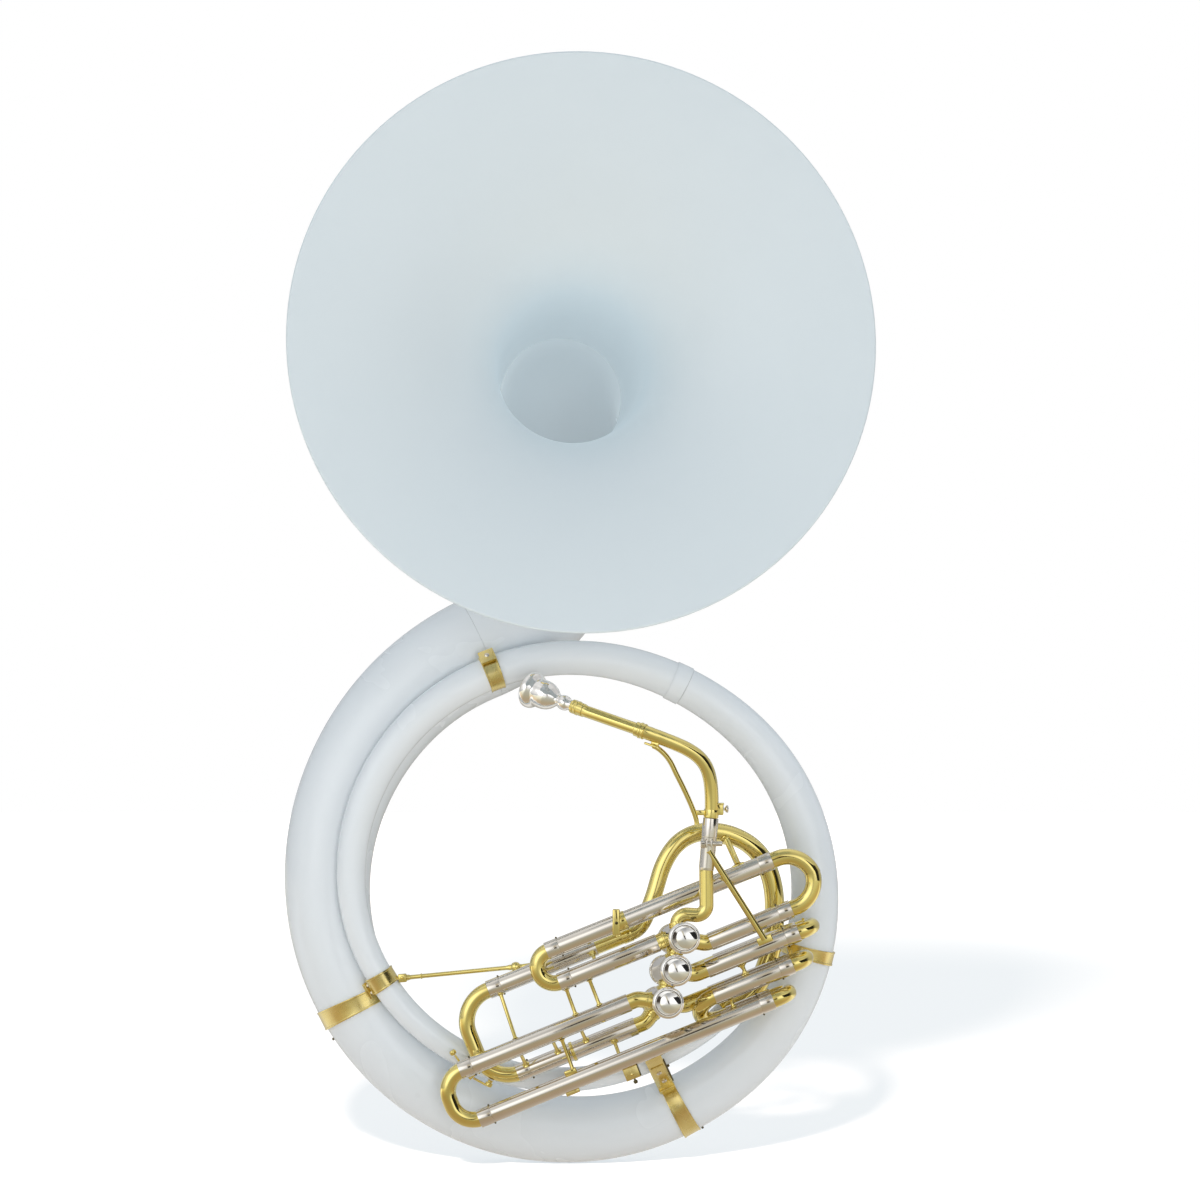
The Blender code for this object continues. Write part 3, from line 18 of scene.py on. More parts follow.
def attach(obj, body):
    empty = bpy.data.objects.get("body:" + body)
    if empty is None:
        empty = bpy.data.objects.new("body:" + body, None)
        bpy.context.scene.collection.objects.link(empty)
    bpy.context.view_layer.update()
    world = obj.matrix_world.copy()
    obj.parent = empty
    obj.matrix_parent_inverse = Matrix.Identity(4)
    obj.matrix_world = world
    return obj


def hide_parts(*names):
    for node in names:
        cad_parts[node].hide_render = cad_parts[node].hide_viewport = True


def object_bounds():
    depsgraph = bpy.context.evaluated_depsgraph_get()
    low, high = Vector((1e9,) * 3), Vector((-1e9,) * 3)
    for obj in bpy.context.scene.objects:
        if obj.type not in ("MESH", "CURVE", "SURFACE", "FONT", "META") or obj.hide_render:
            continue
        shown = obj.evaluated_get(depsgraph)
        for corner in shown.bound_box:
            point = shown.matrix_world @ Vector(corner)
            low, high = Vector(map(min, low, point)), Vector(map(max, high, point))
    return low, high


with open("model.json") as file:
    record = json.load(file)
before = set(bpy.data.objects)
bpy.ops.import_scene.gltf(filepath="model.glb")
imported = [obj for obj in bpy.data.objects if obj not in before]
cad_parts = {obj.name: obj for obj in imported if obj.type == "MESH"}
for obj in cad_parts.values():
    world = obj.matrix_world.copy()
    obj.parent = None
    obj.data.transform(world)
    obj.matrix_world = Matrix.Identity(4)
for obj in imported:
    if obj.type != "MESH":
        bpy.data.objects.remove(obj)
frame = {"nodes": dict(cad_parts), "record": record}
cad_low, cad_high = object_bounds()
print("frame size", [round(v, 4) for v in cad_high - cad_low])

# %% [markdown]
# ## The camera
# The instrument was seen from about five metres away, by a camera a little below the bell and
# level with it. A long lens on a level camera keeps the verticals straight.

# %% Camera
CAMERA_PLACE = Vector((-0.1125, -4.874, 0.1365))
CAMERA_LENS = 121.0
SENSOR_WIDTH = 36.0

camera_data = bpy.data.cameras.new("camera")
camera_data.lens = CAMERA_LENS
camera_data.sensor_width = SENSOR_WIDTH
camera_data.dof.use_dof = False
camera = bpy.data.objects.new("camera", camera_data)
camera.location = CAMERA_PLACE
camera.rotation_euler = (math.radians(90.0), 0.0, 0.0)
bpy.context.scene.collection.objects.link(camera)
bpy.context.scene.camera = camera
print("camera", [round(v, 3) for v in camera.location])

# %% [markdown]
# ## The studio
# Polished tube shows nothing but its surroundings, so the surroundings are part of its look.
# The camera sees a white backdrop. Polished surfaces see a white room with a bright band in
# front, where the soft lamp panels hang, and duller walls elsewhere. That contrast is what draws
# the pale line along a brass tube and its darker edges.

# %% World
BACKDROP = (1.0, 1.0, 1.0, 1.0)
LIGHT_ABOVE = (0.90, 0.97, 1.03, 1.0)
LIGHT_BELOW = (0.90, 0.94, 0.98, 1.0)
ROOM_STRENGTH = 0.82
# Height of the reflected direction, from -1 straight down to 1 straight up, and its brightness
FRONT_WALL = ((-1.0, 1.00), (0.00, 1.05), (0.05, 1.30), (0.15, 1.50), (0.42, 1.60), (0.52, 1.20),
              (0.60, 0.84), (0.74, 0.60), (0.88, 0.77), (1.0, 0.87))
BACK_WALL = ((-1.0, 0.40), (0.0, 0.45), (0.30, 0.50), (0.60, 0.58), (0.86, 0.74), (1.0, 0.87))
# The same from left to right: the windows in the front wall
WINDOWS = ((-1.0, 0.50), (-0.85, 0.60), (-0.75, 0.95), (-0.60, 1.15), (-0.45, 1.15), (-0.30, 0.88),
           (-0.12, 0.62), (0.05, 0.60), (0.20, 0.80), (0.45, 0.90), (0.70, 0.85), (0.85, 0.50), (1.0, 0.50))
# Dull and dark parts of the front wall: slant, left, right, bottom, top, colour
OPENINGS = (
    (-0.404, -0.0066, 0.125, -0.10, 0.62, (0.56, 0.51, 0.40, 1.0)),
    (-0.404, -0.0066, 0.125, -0.02, 0.30, (0.06, 0.05, 0.04, 1.0)),
    (-0.704, 0.700, 3.0, -0.30, 0.52, (0.02, 0.02, 0.02, 1.0)),
)


def ramp_of(tree, value, low, high, stops):
    """A colour that follows a value between two limits, through given stops."""
    share = tree.nodes.new("ShaderNodeMapRange")
    share.inputs["From Min"].default_value = low
    share.inputs["From Max"].default_value = high
    tree.links.new(value, share.inputs["Value"])
    ramp = tree.nodes.new("ShaderNodeValToRGB")
    points = ramp.color_ramp.elements
    while len(points) < len(stops):
        points.new(0.5)
    for point, (place, colour) in zip(points, stops):
        point.position = (place - low) / (high - low)
        point.color = (colour,) * 3 + (1.0,) if isinstance(colour, float) else (*colour, 1.0)
    tree.links.new(share.outputs["Result"], ramp.inputs["Fac"])
    return ramp.outputs["Color"]


def sum_of(tree, operation, first, second, clamp=False):
    """One sum on two values, each a socket or a plain number."""
    node = tree.nodes.new("ShaderNodeMath")
    node.operation = operation
    node.use_clamp = clamp
    for socket, value in zip(node.inputs, (first, second)):
        if isinstance(value, float):
            socket.default_value = value
        else:
            tree.links.new(value, socket)
    return node.outputs["Value"]


def within(tree, value, low, high):
    """One between two limits and nought beyond them, with soft edges."""
    above = sum_of(tree, "MULTIPLY", sum_of(tree, "SUBTRACT", value, low), 40.0, True)
    below = sum_of(tree, "MULTIPLY", sum_of(tree, "SUBTRACT", high, value), 40.0, True)
    return sum_of(tree, "MULTIPLY", above, below)


def colour_product(tree, first, second):
    """Two colours multiplied."""
    mix = tree.nodes.new("ShaderNodeMix")
    mix.data_type = "RGBA"
    mix.blend_type = "MULTIPLY"
    mix.inputs["Factor"].default_value = 1.0
    tree.links.new(first, mix.inputs["A"])
    tree.links.new(second, mix.inputs["B"])
    return mix.outputs["Result"]


def make_world():
    """White for the camera, a studio with bright and dull parts for reflections, soft light."""
    world = bpy.data.worlds.new("studio")
    world.use_nodes = True
    tree = world.node_tree
    links = tree.links
    view = tree.nodes.new("ShaderNodeTexCoord")
    parts = tree.nodes.new("ShaderNodeSeparateXYZ")
    links.new(view.outputs["Generated"], parts.inputs["Vector"])
    height = tree.nodes.new("ShaderNodeMapRange")
    height.inputs["From Min"].default_value = -1.0
    links.new(parts.outputs["Z"], height.inputs["Value"])
    front = colour_product(tree, ramp_of(tree, parts.outputs["Z"], -1.0, 1.0, FRONT_WALL),
                           ramp_of(tree, parts.outputs["X"], -1.0, 1.0, WINDOWS))
    back = ramp_of(tree, parts.outputs["Z"], -1.0, 1.0, BACK_WALL)
    depth = tree.nodes.new("ShaderNodeMapRange")
    depth.interpolation_type = "SMOOTHSTEP"
    depth.inputs["From Min"].default_value = -0.25
    depth.inputs["From Max"].default_value = 0.25
    links.new(parts.outputs["Y"], depth.inputs["Value"])
    walls = tree.nodes.new("ShaderNodeMix")
    walls.data_type = "RGBA"
    links.new(depth.outputs["Result"], walls.inputs["Factor"])
    for slant, left, right, bottom, top, colour in OPENINGS:
        slid = sum_of(tree, "SUBTRACT", parts.outputs["X"], sum_of(tree, "MULTIPLY", parts.outputs["Z"], slant))
        opening = tree.nodes.new("ShaderNodeMix")
        opening.data_type = "RGBA"
        opening.inputs["B"].default_value = colour
        links.new(sum_of(tree, "MULTIPLY", within(tree, slid, left, right),
                         within(tree, parts.outputs["Z"], bottom, top)), opening.inputs["Factor"])
        links.new(front, opening.inputs["A"])
        front = opening.outputs["Result"]
    links.new(front, walls.inputs["A"])
    links.new(back, walls.inputs["B"])
    light = tree.nodes.new("ShaderNodeMix")
    light.data_type = "RGBA"
    light.inputs["A"].default_value = LIGHT_BELOW
    light.inputs["B"].default_value = LIGHT_ABOVE
    links.new(height.outputs["Result"], light.inputs["Factor"])
    soft = tree.nodes["Background"]
    links.new(light.outputs["Result"], soft.inputs["Color"])
    soft.inputs["Strength"].default_value = ROOM_STRENGTH
    mirrored = tree.nodes.new("ShaderNodeBackground")
    links.new(walls.outputs["Result"], mirrored.inputs["Color"])
    pale = tree.nodes.new("ShaderNodeBackground")
    pale.inputs["Color"].default_value = BACKDROP
    ray = tree.nodes.new("ShaderNodeLightPath")
    polished = tree.nodes.new("ShaderNodeMixShader")
    links.new(ray.outputs["Is Glossy Ray"], polished.inputs["Fac"])
    links.new(soft.outputs["Background"], polished.inputs[1])
    links.new(mirrored.outputs["Background"], polished.inputs[2])
    seen = tree.nodes.new("ShaderNodeMixShader")
    links.new(ray.outputs["Is Camera Ray"], seen.inputs["Fac"])
    links.new(polished.outputs["Shader"], seen.inputs[1])
    links.new(pale.outputs["Background"], seen.inputs[2])
    links.new(seen.outputs["Shader"], tree.nodes["World Output"].inputs["Surface"])
    return world


bpy.context.scene.world = make_world()
bpy.context.scene.view_settings.view_transform = "Standard"
print("world", bpy.context.scene.world.name)

# %% [markdown]
# Two soft lamp panels light the scene. The small one hangs high in front, a little to the left and about 24 degrees up,
# and lights only the floor, so the shadow falls back across the floor as a long pale ellipse. The larger one hangs low
# in front, a little to the right, and lights the instrument.

# %% Lamps
# Name, place, size of the panel and power in watts
LAMPS = (
    ("floor_lamp", (-0.68, -4.60, 2.05), 0.35, 950.0),
    ("front_lamp", (0.45, -4.50, -0.05), 1.0, 32.0),
)
for name, place, size, power in LAMPS:
    data = bpy.data.lights.new(name, "AREA")
    data.size = size
    data.energy = power
    lamp = bpy.data.objects.new(name, data)
    lamp.location = place
    aim = Vector((-0.13, 0.0, 0.05)) - lamp.location
    lamp.rotation_euler = aim.to_track_quat("-Z", "Y").to_euler()
    lamp.visible_glossy = False
    bpy.context.scene.collection.objects.link(lamp)
print("lamps", len(LAMPS))

# %% [markdown]
# The floor is a pale sheet that runs on into the backdrop. Near the instrument it takes a faint
# bluish shadow, and further out it fades into plain white, so no horizon shows.

# %% Floor
FLOOR_HALF = 7.0
FLOOR_GLOW = (0.640, 0.700, 0.742, 1.0)
FLOOR_COLOUR = (0.30, 0.25, 0.215, 1.0)
FLOOR_BOUNCE = (0.305, 0.285, 0.262, 1.0)
# What polished metal sees in the floor, from the front to the back and from left to right
SHEEN_DEPTH = ((-2.4, (0.54, 0.54, 0.475)), (-0.8, (0.454, 0.425, 0.323)), (-0.33, (0.454, 0.372, 0.243)),
               (-0.16, (0.47, 0.37, 0.26)), (-0.1, (0.52, 0.44, 0.35)), (0.0, (0.69, 0.64, 0.57)),
               (0.2, (0.85, 0.84, 0.80)), (0.5, (0.60, 0.58, 0.54)), (1.0, (0.40, 0.38, 0.34)))
SHEEN_WIDTH = ((-1.4, 1.0), (-0.95, 0.72), (-0.55, 0.53), (0.1, 0.53), (0.6, 0.72), (1.2, 0.70))
FADE_START = 2.6
FADE_END = 4.4


def make_floor_finish():
    """Pale paper: a glow that never changes plus a small part that the lamps light."""
    material = bpy.data.materials.new("floor_paper")
    material.use_nodes = True
    tree = material.node_tree
    links = tree.links
    tree.nodes.remove(tree.nodes["Principled BSDF"])
    lit = tree.nodes.new("ShaderNodeBsdfDiffuse")
    grain = tree.nodes.new("ShaderNodeTexNoise")
    grain.inputs["Scale"].default_value = 3.0
    place = tree.nodes.new("ShaderNodeTexCoord")
    links.new(place.outputs["Object"], grain.inputs["Vector"])
    tint = tree.nodes.new("ShaderNodeMix")
    tint.data_type = "RGBA"
    tint.inputs["A"].default_value = FLOOR_COLOUR
    tint.inputs["B"].default_value = tuple(value * 1.03 for value in FLOOR_COLOUR)
    links.new(grain.outputs["Fac"], tint.inputs["Factor"])
    ray = tree.nodes.new("ShaderNodeLightPath")
    thrown = tree.nodes.new("ShaderNodeMix")
    thrown.data_type = "RGBA"
    thrown.inputs["A"].default_value = FLOOR_BOUNCE
    links.new(ray.outputs["Is Camera Ray"], thrown.inputs["Factor"])
    links.new(tint.outputs["Result"], thrown.inputs["B"])
    links.new(thrown.outputs["Result"], lit.inputs["Color"])
    reach = tree.nodes.new("ShaderNodeVectorMath")
    reach.operation = "LENGTH"
    links.new(place.outputs["Object"], reach.inputs[0])
    fade = tree.nodes.new("ShaderNodeMapRange")
    fade.interpolation_type = "SMOOTHSTEP"
    fade.inputs["From Min"].default_value = FADE_START
    fade.inputs["From Max"].default_value = FADE_END
    links.new(reach.outputs["Value"], fade.inputs["Value"])
    paper = tree.nodes.new("ShaderNodeMix")
    paper.data_type = "RGBA"
    paper.inputs["A"].default_value = FLOOR_GLOW
    paper.inputs["B"].default_value = BACKDROP
    links.new(fade.outputs["Result"], paper.inputs["Factor"])
    glow = tree.nodes.new("ShaderNodeEmission")
    links.new(paper.outputs["Result"], glow.inputs["Color"])
    links.new(ray.outputs["Is Camera Ray"], glow.inputs["Strength"])
    near = tree.nodes.new("ShaderNodeAddShader")
    links.new(lit.outputs["BSDF"], near.inputs[0])
    links.new(glow.outputs["Emission"], near.inputs[1])
    parts = tree.nodes.new("ShaderNodeSeparateXYZ")
    links.new(place.outputs["Object"], parts.inputs["Vector"])
    sheen = colour_product(tree, ramp_of(tree, parts.outputs["Y"], -2.4, 1.0, SHEEN_DEPTH),
                           ramp_of(tree, parts.outputs["X"], -1.4, 1.2, SHEEN_WIDTH))
    mirrored = tree.nodes.new("ShaderNodeEmission")
    mirrored.inputs["Strength"].default_value = 1.89
    links.new(sheen, mirrored.inputs["Color"])
    blend = tree.nodes.new("ShaderNodeMixShader")
    links.new(ray.outputs["Is Glossy Ray"], blend.inputs["Fac"])
    links.new(near.outputs["Shader"], blend.inputs[1])
    links.new(mirrored.outputs["Emission"], blend.inputs[2])
    links.new(blend.outputs["Shader"], tree.nodes["Material Output"].inputs["Surface"])
    return material


sheet = bmesh.new()
bmesh.ops.create_grid(sheet, x_segments=8, y_segments=8, size=FLOOR_HALF)
bmesh.ops.translate(sheet, verts=sheet.verts, vec=(0.0, 1.0, cad_low.z - 0.0008))
floor_mesh = bpy.data.meshes.new("floor")
sheet.to_mesh(floor_mesh)
sheet.free()
floor_mesh.materials.append(make_floor_finish())
floor = bpy.data.objects.new("floor", floor_mesh)
bpy.context.scene.collection.objects.link(floor)
lit_by_floor_lamp = bpy.data.collections.new("lit_by_floor_lamp")
lit_by_floor_lamp.objects.link(floor)
bpy.data.objects["floor_lamp"].light_linking.receiver_collection = lit_by_floor_lamp
print("floor at", round(cad_low.z, 4))

# %% [markdown]
# ## Finishes
# Real surfaces are never one flat value. Three node groups carry what all of them share: slow
# clouds of colour, the smudges and hair scratches of handling, and the small dark specks that
# age puts on metal. Each is built once and placed in every finish with its own numbers.

# %% Node groups
COLOUR = "NodeSocketColor"
NUMBER = "NodeSocketFloat"
VECTOR = "NodeSocketVector"


def make_group(name, takes, gives):
    """An empty node group with named sockets."""
    group = bpy.data.node_groups.new(name, "ShaderNodeTree")
    for socket, kind in takes:
        group.interface.new_socket(name=socket, in_out="INPUT", socket_type=kind)
    for socket, kind in gives:
        group.interface.new_socket(name=socket, in_out="OUTPUT", socket_type=kind)
    return group, group.nodes.new("NodeGroupInput"), group.nodes.new("NodeGroupOutput")


def noise_in(group, entry, scale_factor, detail, distortion=0.0):
    """A noise whose scale is the group's own Scale times a factor."""
    size = group.nodes.new("ShaderNodeMath")
    size.operation = "MULTIPLY"
    size.inputs[1].default_value = scale_factor
    group.links.new(entry.outputs["Scale"], size.inputs[0])
    noise = group.nodes.new("ShaderNodeTexNoise")
    noise.inputs["Detail"].default_value = detail
    noise.inputs["Distortion"].default_value = distortion
    group.links.new(entry.outputs["Vector"], noise.inputs["Vector"])
    group.links.new(size.outputs["Value"], noise.inputs["Scale"])
    return noise.outputs["Fac"]


def range_in(group, value, low, high, to_low=0.0, to_high=1.0, smooth=False):
    """Stretch a value between two limits."""
    stretch = group.nodes.new("ShaderNodeMapRange")
    stretch.interpolation_type = "SMOOTHSTEP" if smooth else "LINEAR"
    stretch.inputs["From Min"].default_value = low
    stretch.inputs["From Max"].default_value = high
    stretch.inputs["To Min"].default_value = to_low
    stretch.inputs["To Max"].default_value = to_high
    group.links.new(value, stretch.inputs["Value"])
    return stretch.outputs["Result"]


def math_in(group, operation, first, second):
    """One sum on two values, of which the second may be a plain number."""
    node = group.nodes.new("ShaderNodeMath")
    node.operation = operation
    group.links.new(first, node.inputs[0])
    if isinstance(second, float):
        node.inputs[1].default_value = second
    else:
        group.links.new(second, node.inputs[1])
    return node.outputs["Value"]


def make_clouds():
    """Slow drifts between two colours."""
    group, entry, out = make_group("colour_clouds",
                                   (("Vector", VECTOR), ("Scale", NUMBER), ("First", COLOUR), ("Second", COLOUR)),
                                   (("Color", COLOUR), ("Cloud", NUMBER)))
    cloud = range_in(group, noise_in(group, entry, 1.0, 3.0), 0.25, 0.75, smooth=True)
    mix = group.nodes.new("ShaderNodeMix")
    mix.data_type = "RGBA"
    group.links.new(cloud, mix.inputs["Factor"])
    group.links.new(entry.outputs["First"], mix.inputs["A"])
    group.links.new(entry.outputs["Second"], mix.inputs["B"])
    group.links.new(mix.outputs["Result"], out.inputs["Color"])
    group.links.new(cloud, out.inputs["Cloud"])
    return group


def make_handling():
    """Smudges left by hands, and thin curved hair scratches."""
    group, entry, out = make_group("handling_marks", (("Vector", VECTOR), ("Scale", NUMBER)),
                                   (("Smudge", NUMBER), ("Scratch", NUMBER)))
    smudge = range_in(group, noise_in(group, entry, 1.0, 3.0, 0.6), 0.48, 0.72)
    lines = math_in(group, "SUBTRACT", noise_in(group, entry, 1.7, 1.0, 1.4), 0.5)
    thin = range_in(group, math_in(group, "ABSOLUTE", lines, 0.0), 0.0, 0.003, 1.0, 0.0)
    broken = range_in(group, noise_in(group, entry, 3.1, 1.0), 0.56, 0.62)
    group.links.new(smudge, out.inputs["Smudge"])
    group.links.new(math_in(group, "MULTIPLY", thin, broken), out.inputs["Scratch"])
    return group


def make_specks():
    """Scattered small round specks."""
    group, entry, out = make_group("age_specks", (("Vector", VECTOR), ("Scale", NUMBER), ("Size", NUMBER)),
                                   (("Speck", NUMBER),))
    cells = group.nodes.new("ShaderNodeTexVoronoi")
    group.links.new(entry.outputs["Vector"], cells.inputs["Vector"])
    group.links.new(entry.outputs["Scale"], cells.inputs["Scale"])
    inside = math_in(group, "LESS_THAN", cells.outputs["Distance"], entry.outputs["Size"])
    parts = group.nodes.new("ShaderNodeSeparateColor")
    group.links.new(cells.outputs["Color"], parts.inputs["Color"])
    few = math_in(group, "LESS_THAN", parts.outputs["Red"], 0.35)
    group.links.new(math_in(group, "MULTIPLY", inside, few), out.inputs["Speck"])
    return group


clouds_group = make_clouds()
handling_group = make_handling()
specks_group = make_specks()
print("node groups", len(bpy.data.node_groups))

# %% [markdown]
# Every finish is a Principled surface fed by those groups. The shell is white gel coat: glossy,
# faintly blue, with a very slight ripple left by the mould. The tubes are lacquered brass and
# polished nickel silver, the caps and the mouthpiece silver plate, the valve innards satin steel.

# %% Finishes
# First and second colour, speck colour, metallic, lowest and highest roughness, size of the clouds,
# size of the marks, ripple strength, coat, strength of the wear
FINISHES = {
    "fiberglass": ((0.760, 0.800, 0.830), (0.742, 0.785, 0.817), (0.55, 0.57, 0.60), 0.0, 0.22, 0.34,
                   3.0, 7.0, 0.004, 0.15, 0.10),
    # The bell's copy of the white gel coat is painted darker and bluer than the coil's, though both are one fiberglass:
    # painted shade.
    "bell_gel_coat": ((0.598, 0.660, 0.690), (0.586, 0.650, 0.682), (0.50, 0.55, 0.58), 0.0, 0.38, 0.46,
                      3.0, 6.0, 0.003, 0.0, 0.06),
    "brass": ((0.840, 0.690, 0.180), (0.790, 0.640, 0.150), (0.36, 0.26, 0.07), 1.0, 0.08, 0.16,
              26.0, 40.0, 0.006, 1.0, 0.35),
    "strap_brass": ((0.830, 0.690, 0.280), (0.740, 0.590, 0.200), (0.40, 0.28, 0.09), 1.0, 0.24, 0.36,
                    60.0, 50.0, 0.030, 0.4, 0.40),
    # Brass painted nearly black as shade, for small side faces, folded ends and stops, with the usual handling marks
    # and specks
    "aged_brass": ((0.170, 0.145, 0.075), (0.120, 0.100, 0.050), (0.06, 0.05, 0.03), 1.0, 0.30, 0.50,
                   60.0, 50.0, 0.060, 0.0, 0.50),
    "nickel_silver": ((0.800, 0.760, 0.690), (0.760, 0.715, 0.645), (0.36, 0.32, 0.27), 1.0, 0.08, 0.15,
                      26.0, 40.0, 0.005, 0.0, 0.30),
    "silver_plate": ((0.940, 0.925, 0.900), (0.900, 0.885, 0.860), (0.45, 0.42, 0.36), 1.0, 0.04, 0.09,
                     30.0, 60.0, 0.004, 0.0, 0.15),
    "valve_steel": ((0.560, 0.570, 0.590), (0.480, 0.490, 0.510), (0.30, 0.31, 0.32), 1.0, 0.20, 0.36,
                    40.0, 70.0, 0.030, 0.0, 0.40),
}
LACQUER_IOR = 1.9
# Painted light for the throat: a darker, bluer painted shade for the base colour and a painted glow
PAINTED_THROAT_SHADE = (0.500, 0.590, 0.640, 1.0)
PAINTED_THROAT_GLOW = (0.180, 0.190, 0.190, 1.0)


def placed_group(tree, group, place, scale):
    """Put a node group in a material and give it its place and scale."""
    node = tree.nodes.new("ShaderNodeGroup")
    node.node_tree = group
    node.inputs["Scale"].default_value = scale
    tree.links.new(place.outputs["Object"], node.inputs["Vector"])
    return node


def make_finish(name, first, second, speck, metallic, low, high, clouds, marks, ripple, coat, wear):
    """One surface: drifting colour, specks and scratches, smudged gloss and a slight ripple."""
    material = bpy.data.materials.new(name)
    material.use_nodes = True
    tree = material.node_tree
    shader = tree.nodes["Principled BSDF"]
    shader.inputs["Metallic"].default_value = metallic
    shader.inputs["Coat Weight"].default_value = coat
    shader.inputs["Coat Roughness"].default_value = 0.04
    shader.inputs["Coat IOR"].default_value = LACQUER_IOR if metallic else 1.5
    place = tree.nodes.new("ShaderNodeTexCoord")
    drift = placed_group(tree, clouds_group, place, clouds)
    drift.inputs["First"].default_value = (*first, 1.0)
    drift.inputs["Second"].default_value = (*second, 1.0)
    handled = placed_group(tree, handling_group, place, marks)
    aged = placed_group(tree, specks_group, place, marks * 3.0)
    aged.inputs["Size"].default_value = 0.07
    worn = math_in(tree, "ADD", math_in(tree, "MULTIPLY", handled.outputs["Scratch"], wear),
                   math_in(tree, "MULTIPLY", aged.outputs["Speck"], wear))
    mix = tree.nodes.new("ShaderNodeMix")
    mix.data_type = "RGBA"
    mix.inputs["B"].default_value = (*speck, 1.0)
    tree.links.new(worn, mix.inputs["Factor"])
    tree.links.new(drift.outputs["Color"], mix.inputs["A"])
    tree.links.new(mix.outputs["Result"], shader.inputs["Base Color"])
    gloss = range_in(tree, handled.outputs["Smudge"], 0.0, 1.0, low, high)
    tree.links.new(gloss, shader.inputs["Roughness"])
    bump = tree.nodes.new("ShaderNodeBump")
    bump.inputs["Strength"].default_value = ripple
    bump.inputs["Distance"].default_value = 0.002
    tree.links.new(drift.outputs["Cloud"], bump.inputs["Height"])
    tree.links.new(bump.outputs["Normal"], shader.inputs["Normal"])
    return material


def add_painted_throat_light(material):
    """Painted light in the throat, where the throat attribute says: a glow though no lamp is there, and a darker, bluer
    painted shade mixed into the base colour.
    """
    tree = material.node_tree
    shader = tree.nodes["Principled BSDF"]
    depth = tree.nodes.new("ShaderNodeAttribute")
    depth.attribute_name = "throat"
    glow = tree.nodes.new("ShaderNodeMix")
    glow.data_type = "RGBA"
    glow.inputs["A"].default_value = (0.0, 0.0, 0.0, 1.0)
    glow.inputs["B"].default_value = PAINTED_THROAT_GLOW
    tree.links.new(depth.outputs["Fac"], glow.inputs["Factor"])
    base = shader.inputs["Base Color"].links[0].from_socket
    tint = tree.nodes.new("ShaderNodeMix")
    tint.data_type = "RGBA"
    tint.inputs["B"].default_value = PAINTED_THROAT_SHADE
    tree.links.new(sum_of(tree, "POWER", depth.outputs["Fac"], 3.0), tint.inputs["Factor"])
    tree.links.new(base, tint.inputs["A"])
    tree.links.new(tint.outputs["Result"], shader.inputs["Base Color"])
    tree.links.new(glow.outputs["Result"], shader.inputs["Emission Color"])
    shader.inputs["Emission Strength"].default_value = 1.0


finishes = {name: make_finish(name, *values) for name, values in FINISHES.items()}
finishes["elbow_gel_coat"] = make_finish("elbow_gel_coat", *FINISHES["fiberglass"])
for name, slot in (("bell_gel_coat", "fiberglass"), ("elbow_gel_coat", "fiberglass"),
                   ("strap_brass", "brass"), ("aged_brass", "brass")):
    finishes[name]["slot"] = slot
# The bell and the elbow get the painted throat light
for name in ("bell_gel_coat", "elbow_gel_coat"):
    add_painted_throat_light(finishes[name])
print("finishes", sorted(finishes))

# %% [markdown]
# ## Tools for round pieces
# A horn is almost all round section. So the main tool is one circle, extruded from place to
# place along a path, as a smith draws a tube over a mandrel. A lathe profile is the same thing
# along a straight axis. Corners of a profile are eased, because a real edge is never knife sharp.

# %% Shape tools
FORWARD = Vector((0.0, -1.0, 0.0))
RIGHT = Vector((1.0, 0.0, 0.0))
UP = Vector((0.0, 0.0, 1.0))
WELD = 0.00001


def placed(point, along, side):
    """A matrix at a point whose Z runs along the piece and whose X keeps to one side."""
    x_axis = (side - along * side.dot(along)).normalized()
    y_axis = along.cross(x_axis)
    matrix = Matrix((x_axis, y_axis, along)).transposed().to_4x4()
    matrix.translation = point
    return matrix


def skin(rings, sides, closed):
    """One circle extruded from place to place; its ends are capped unless it closes on itself."""
    bm = bmesh.new()
    order = rings + rings[:1] if closed else rings
    current = order[0][0] @ Matrix.Scale(order[0][1], 4)
    made = bmesh.ops.create_circle(bm, segments=sides, radius=1.0, matrix=current)
    loop = list({edge for vert in made["verts"] for edge in vert.link_edges})
    if not closed:
        bmesh.ops.contextual_create(bm, geom=loop)
    for place, radius in order[1:]:
        target = place @ Matrix.Scale(radius, 4)
        grown = bmesh.ops.extrude_edge_only(bm, edges=loop)["geom"]
        verts = {part for part in grown if isinstance(part, bmesh.types.BMVert)}
        edges = [part for part in grown if isinstance(part, bmesh.types.BMEdge)]
        loop = [edge for edge in edges if set(edge.verts) <= verts]
        bmesh.ops.transform(bm, matrix=target @ current.inverted(), verts=list(verts))
        current = target
    if closed:
        bmesh.ops.remove_doubles(bm, verts=bm.verts, dist=WELD)
    else:
        bmesh.ops.contextual_create(bm, geom=loop)
    bmesh.ops.recalc_face_normals(bm, faces=bm.faces)
    return bm


def softened(profile, size, closed=True):
    """Ease the corners of a lathe profile."""
    eased = []
    last = len(profile) - 1
    for index, corner in enumerate(profile):
        if not closed and index in (0, last):
            eased.append(corner)
            continue
        here = Vector(corner)
        before = Vector(profile[index - 1]) - here
        after = Vector(profile[(index + 1) % len(profile)]) - here
        start = here + before.normalized() * min(size, before.length * 0.4)
        end = here + after.normalized() * min(size, after.length * 0.4)
        for t in (0.0, 0.35, 0.65, 1.0):
            point = start * (1.0 - t) ** 2 + here * 2.0 * t * (1.0 - t) + end * t**2
            eased.append((point.x, point.y))
    return eased


def turned(base, axis, profile, side=FORWARD, sides=40):
    """A turned solid from (distance along the axis, radius) pairs."""
    rings = [(placed(base + axis * distance, axis, side), radius) for distance, radius in profile]
    return skin(rings, sides, closed=False)


def turned_ring(base, axis, profile, side=FORWARD, sides=56):
    """A turned piece with a hole: the profile goes once round its section."""
    rings = [(placed(base + axis * distance, axis, side), radius) for distance, radius in profile]
    return skin(rings, sides, closed=True)


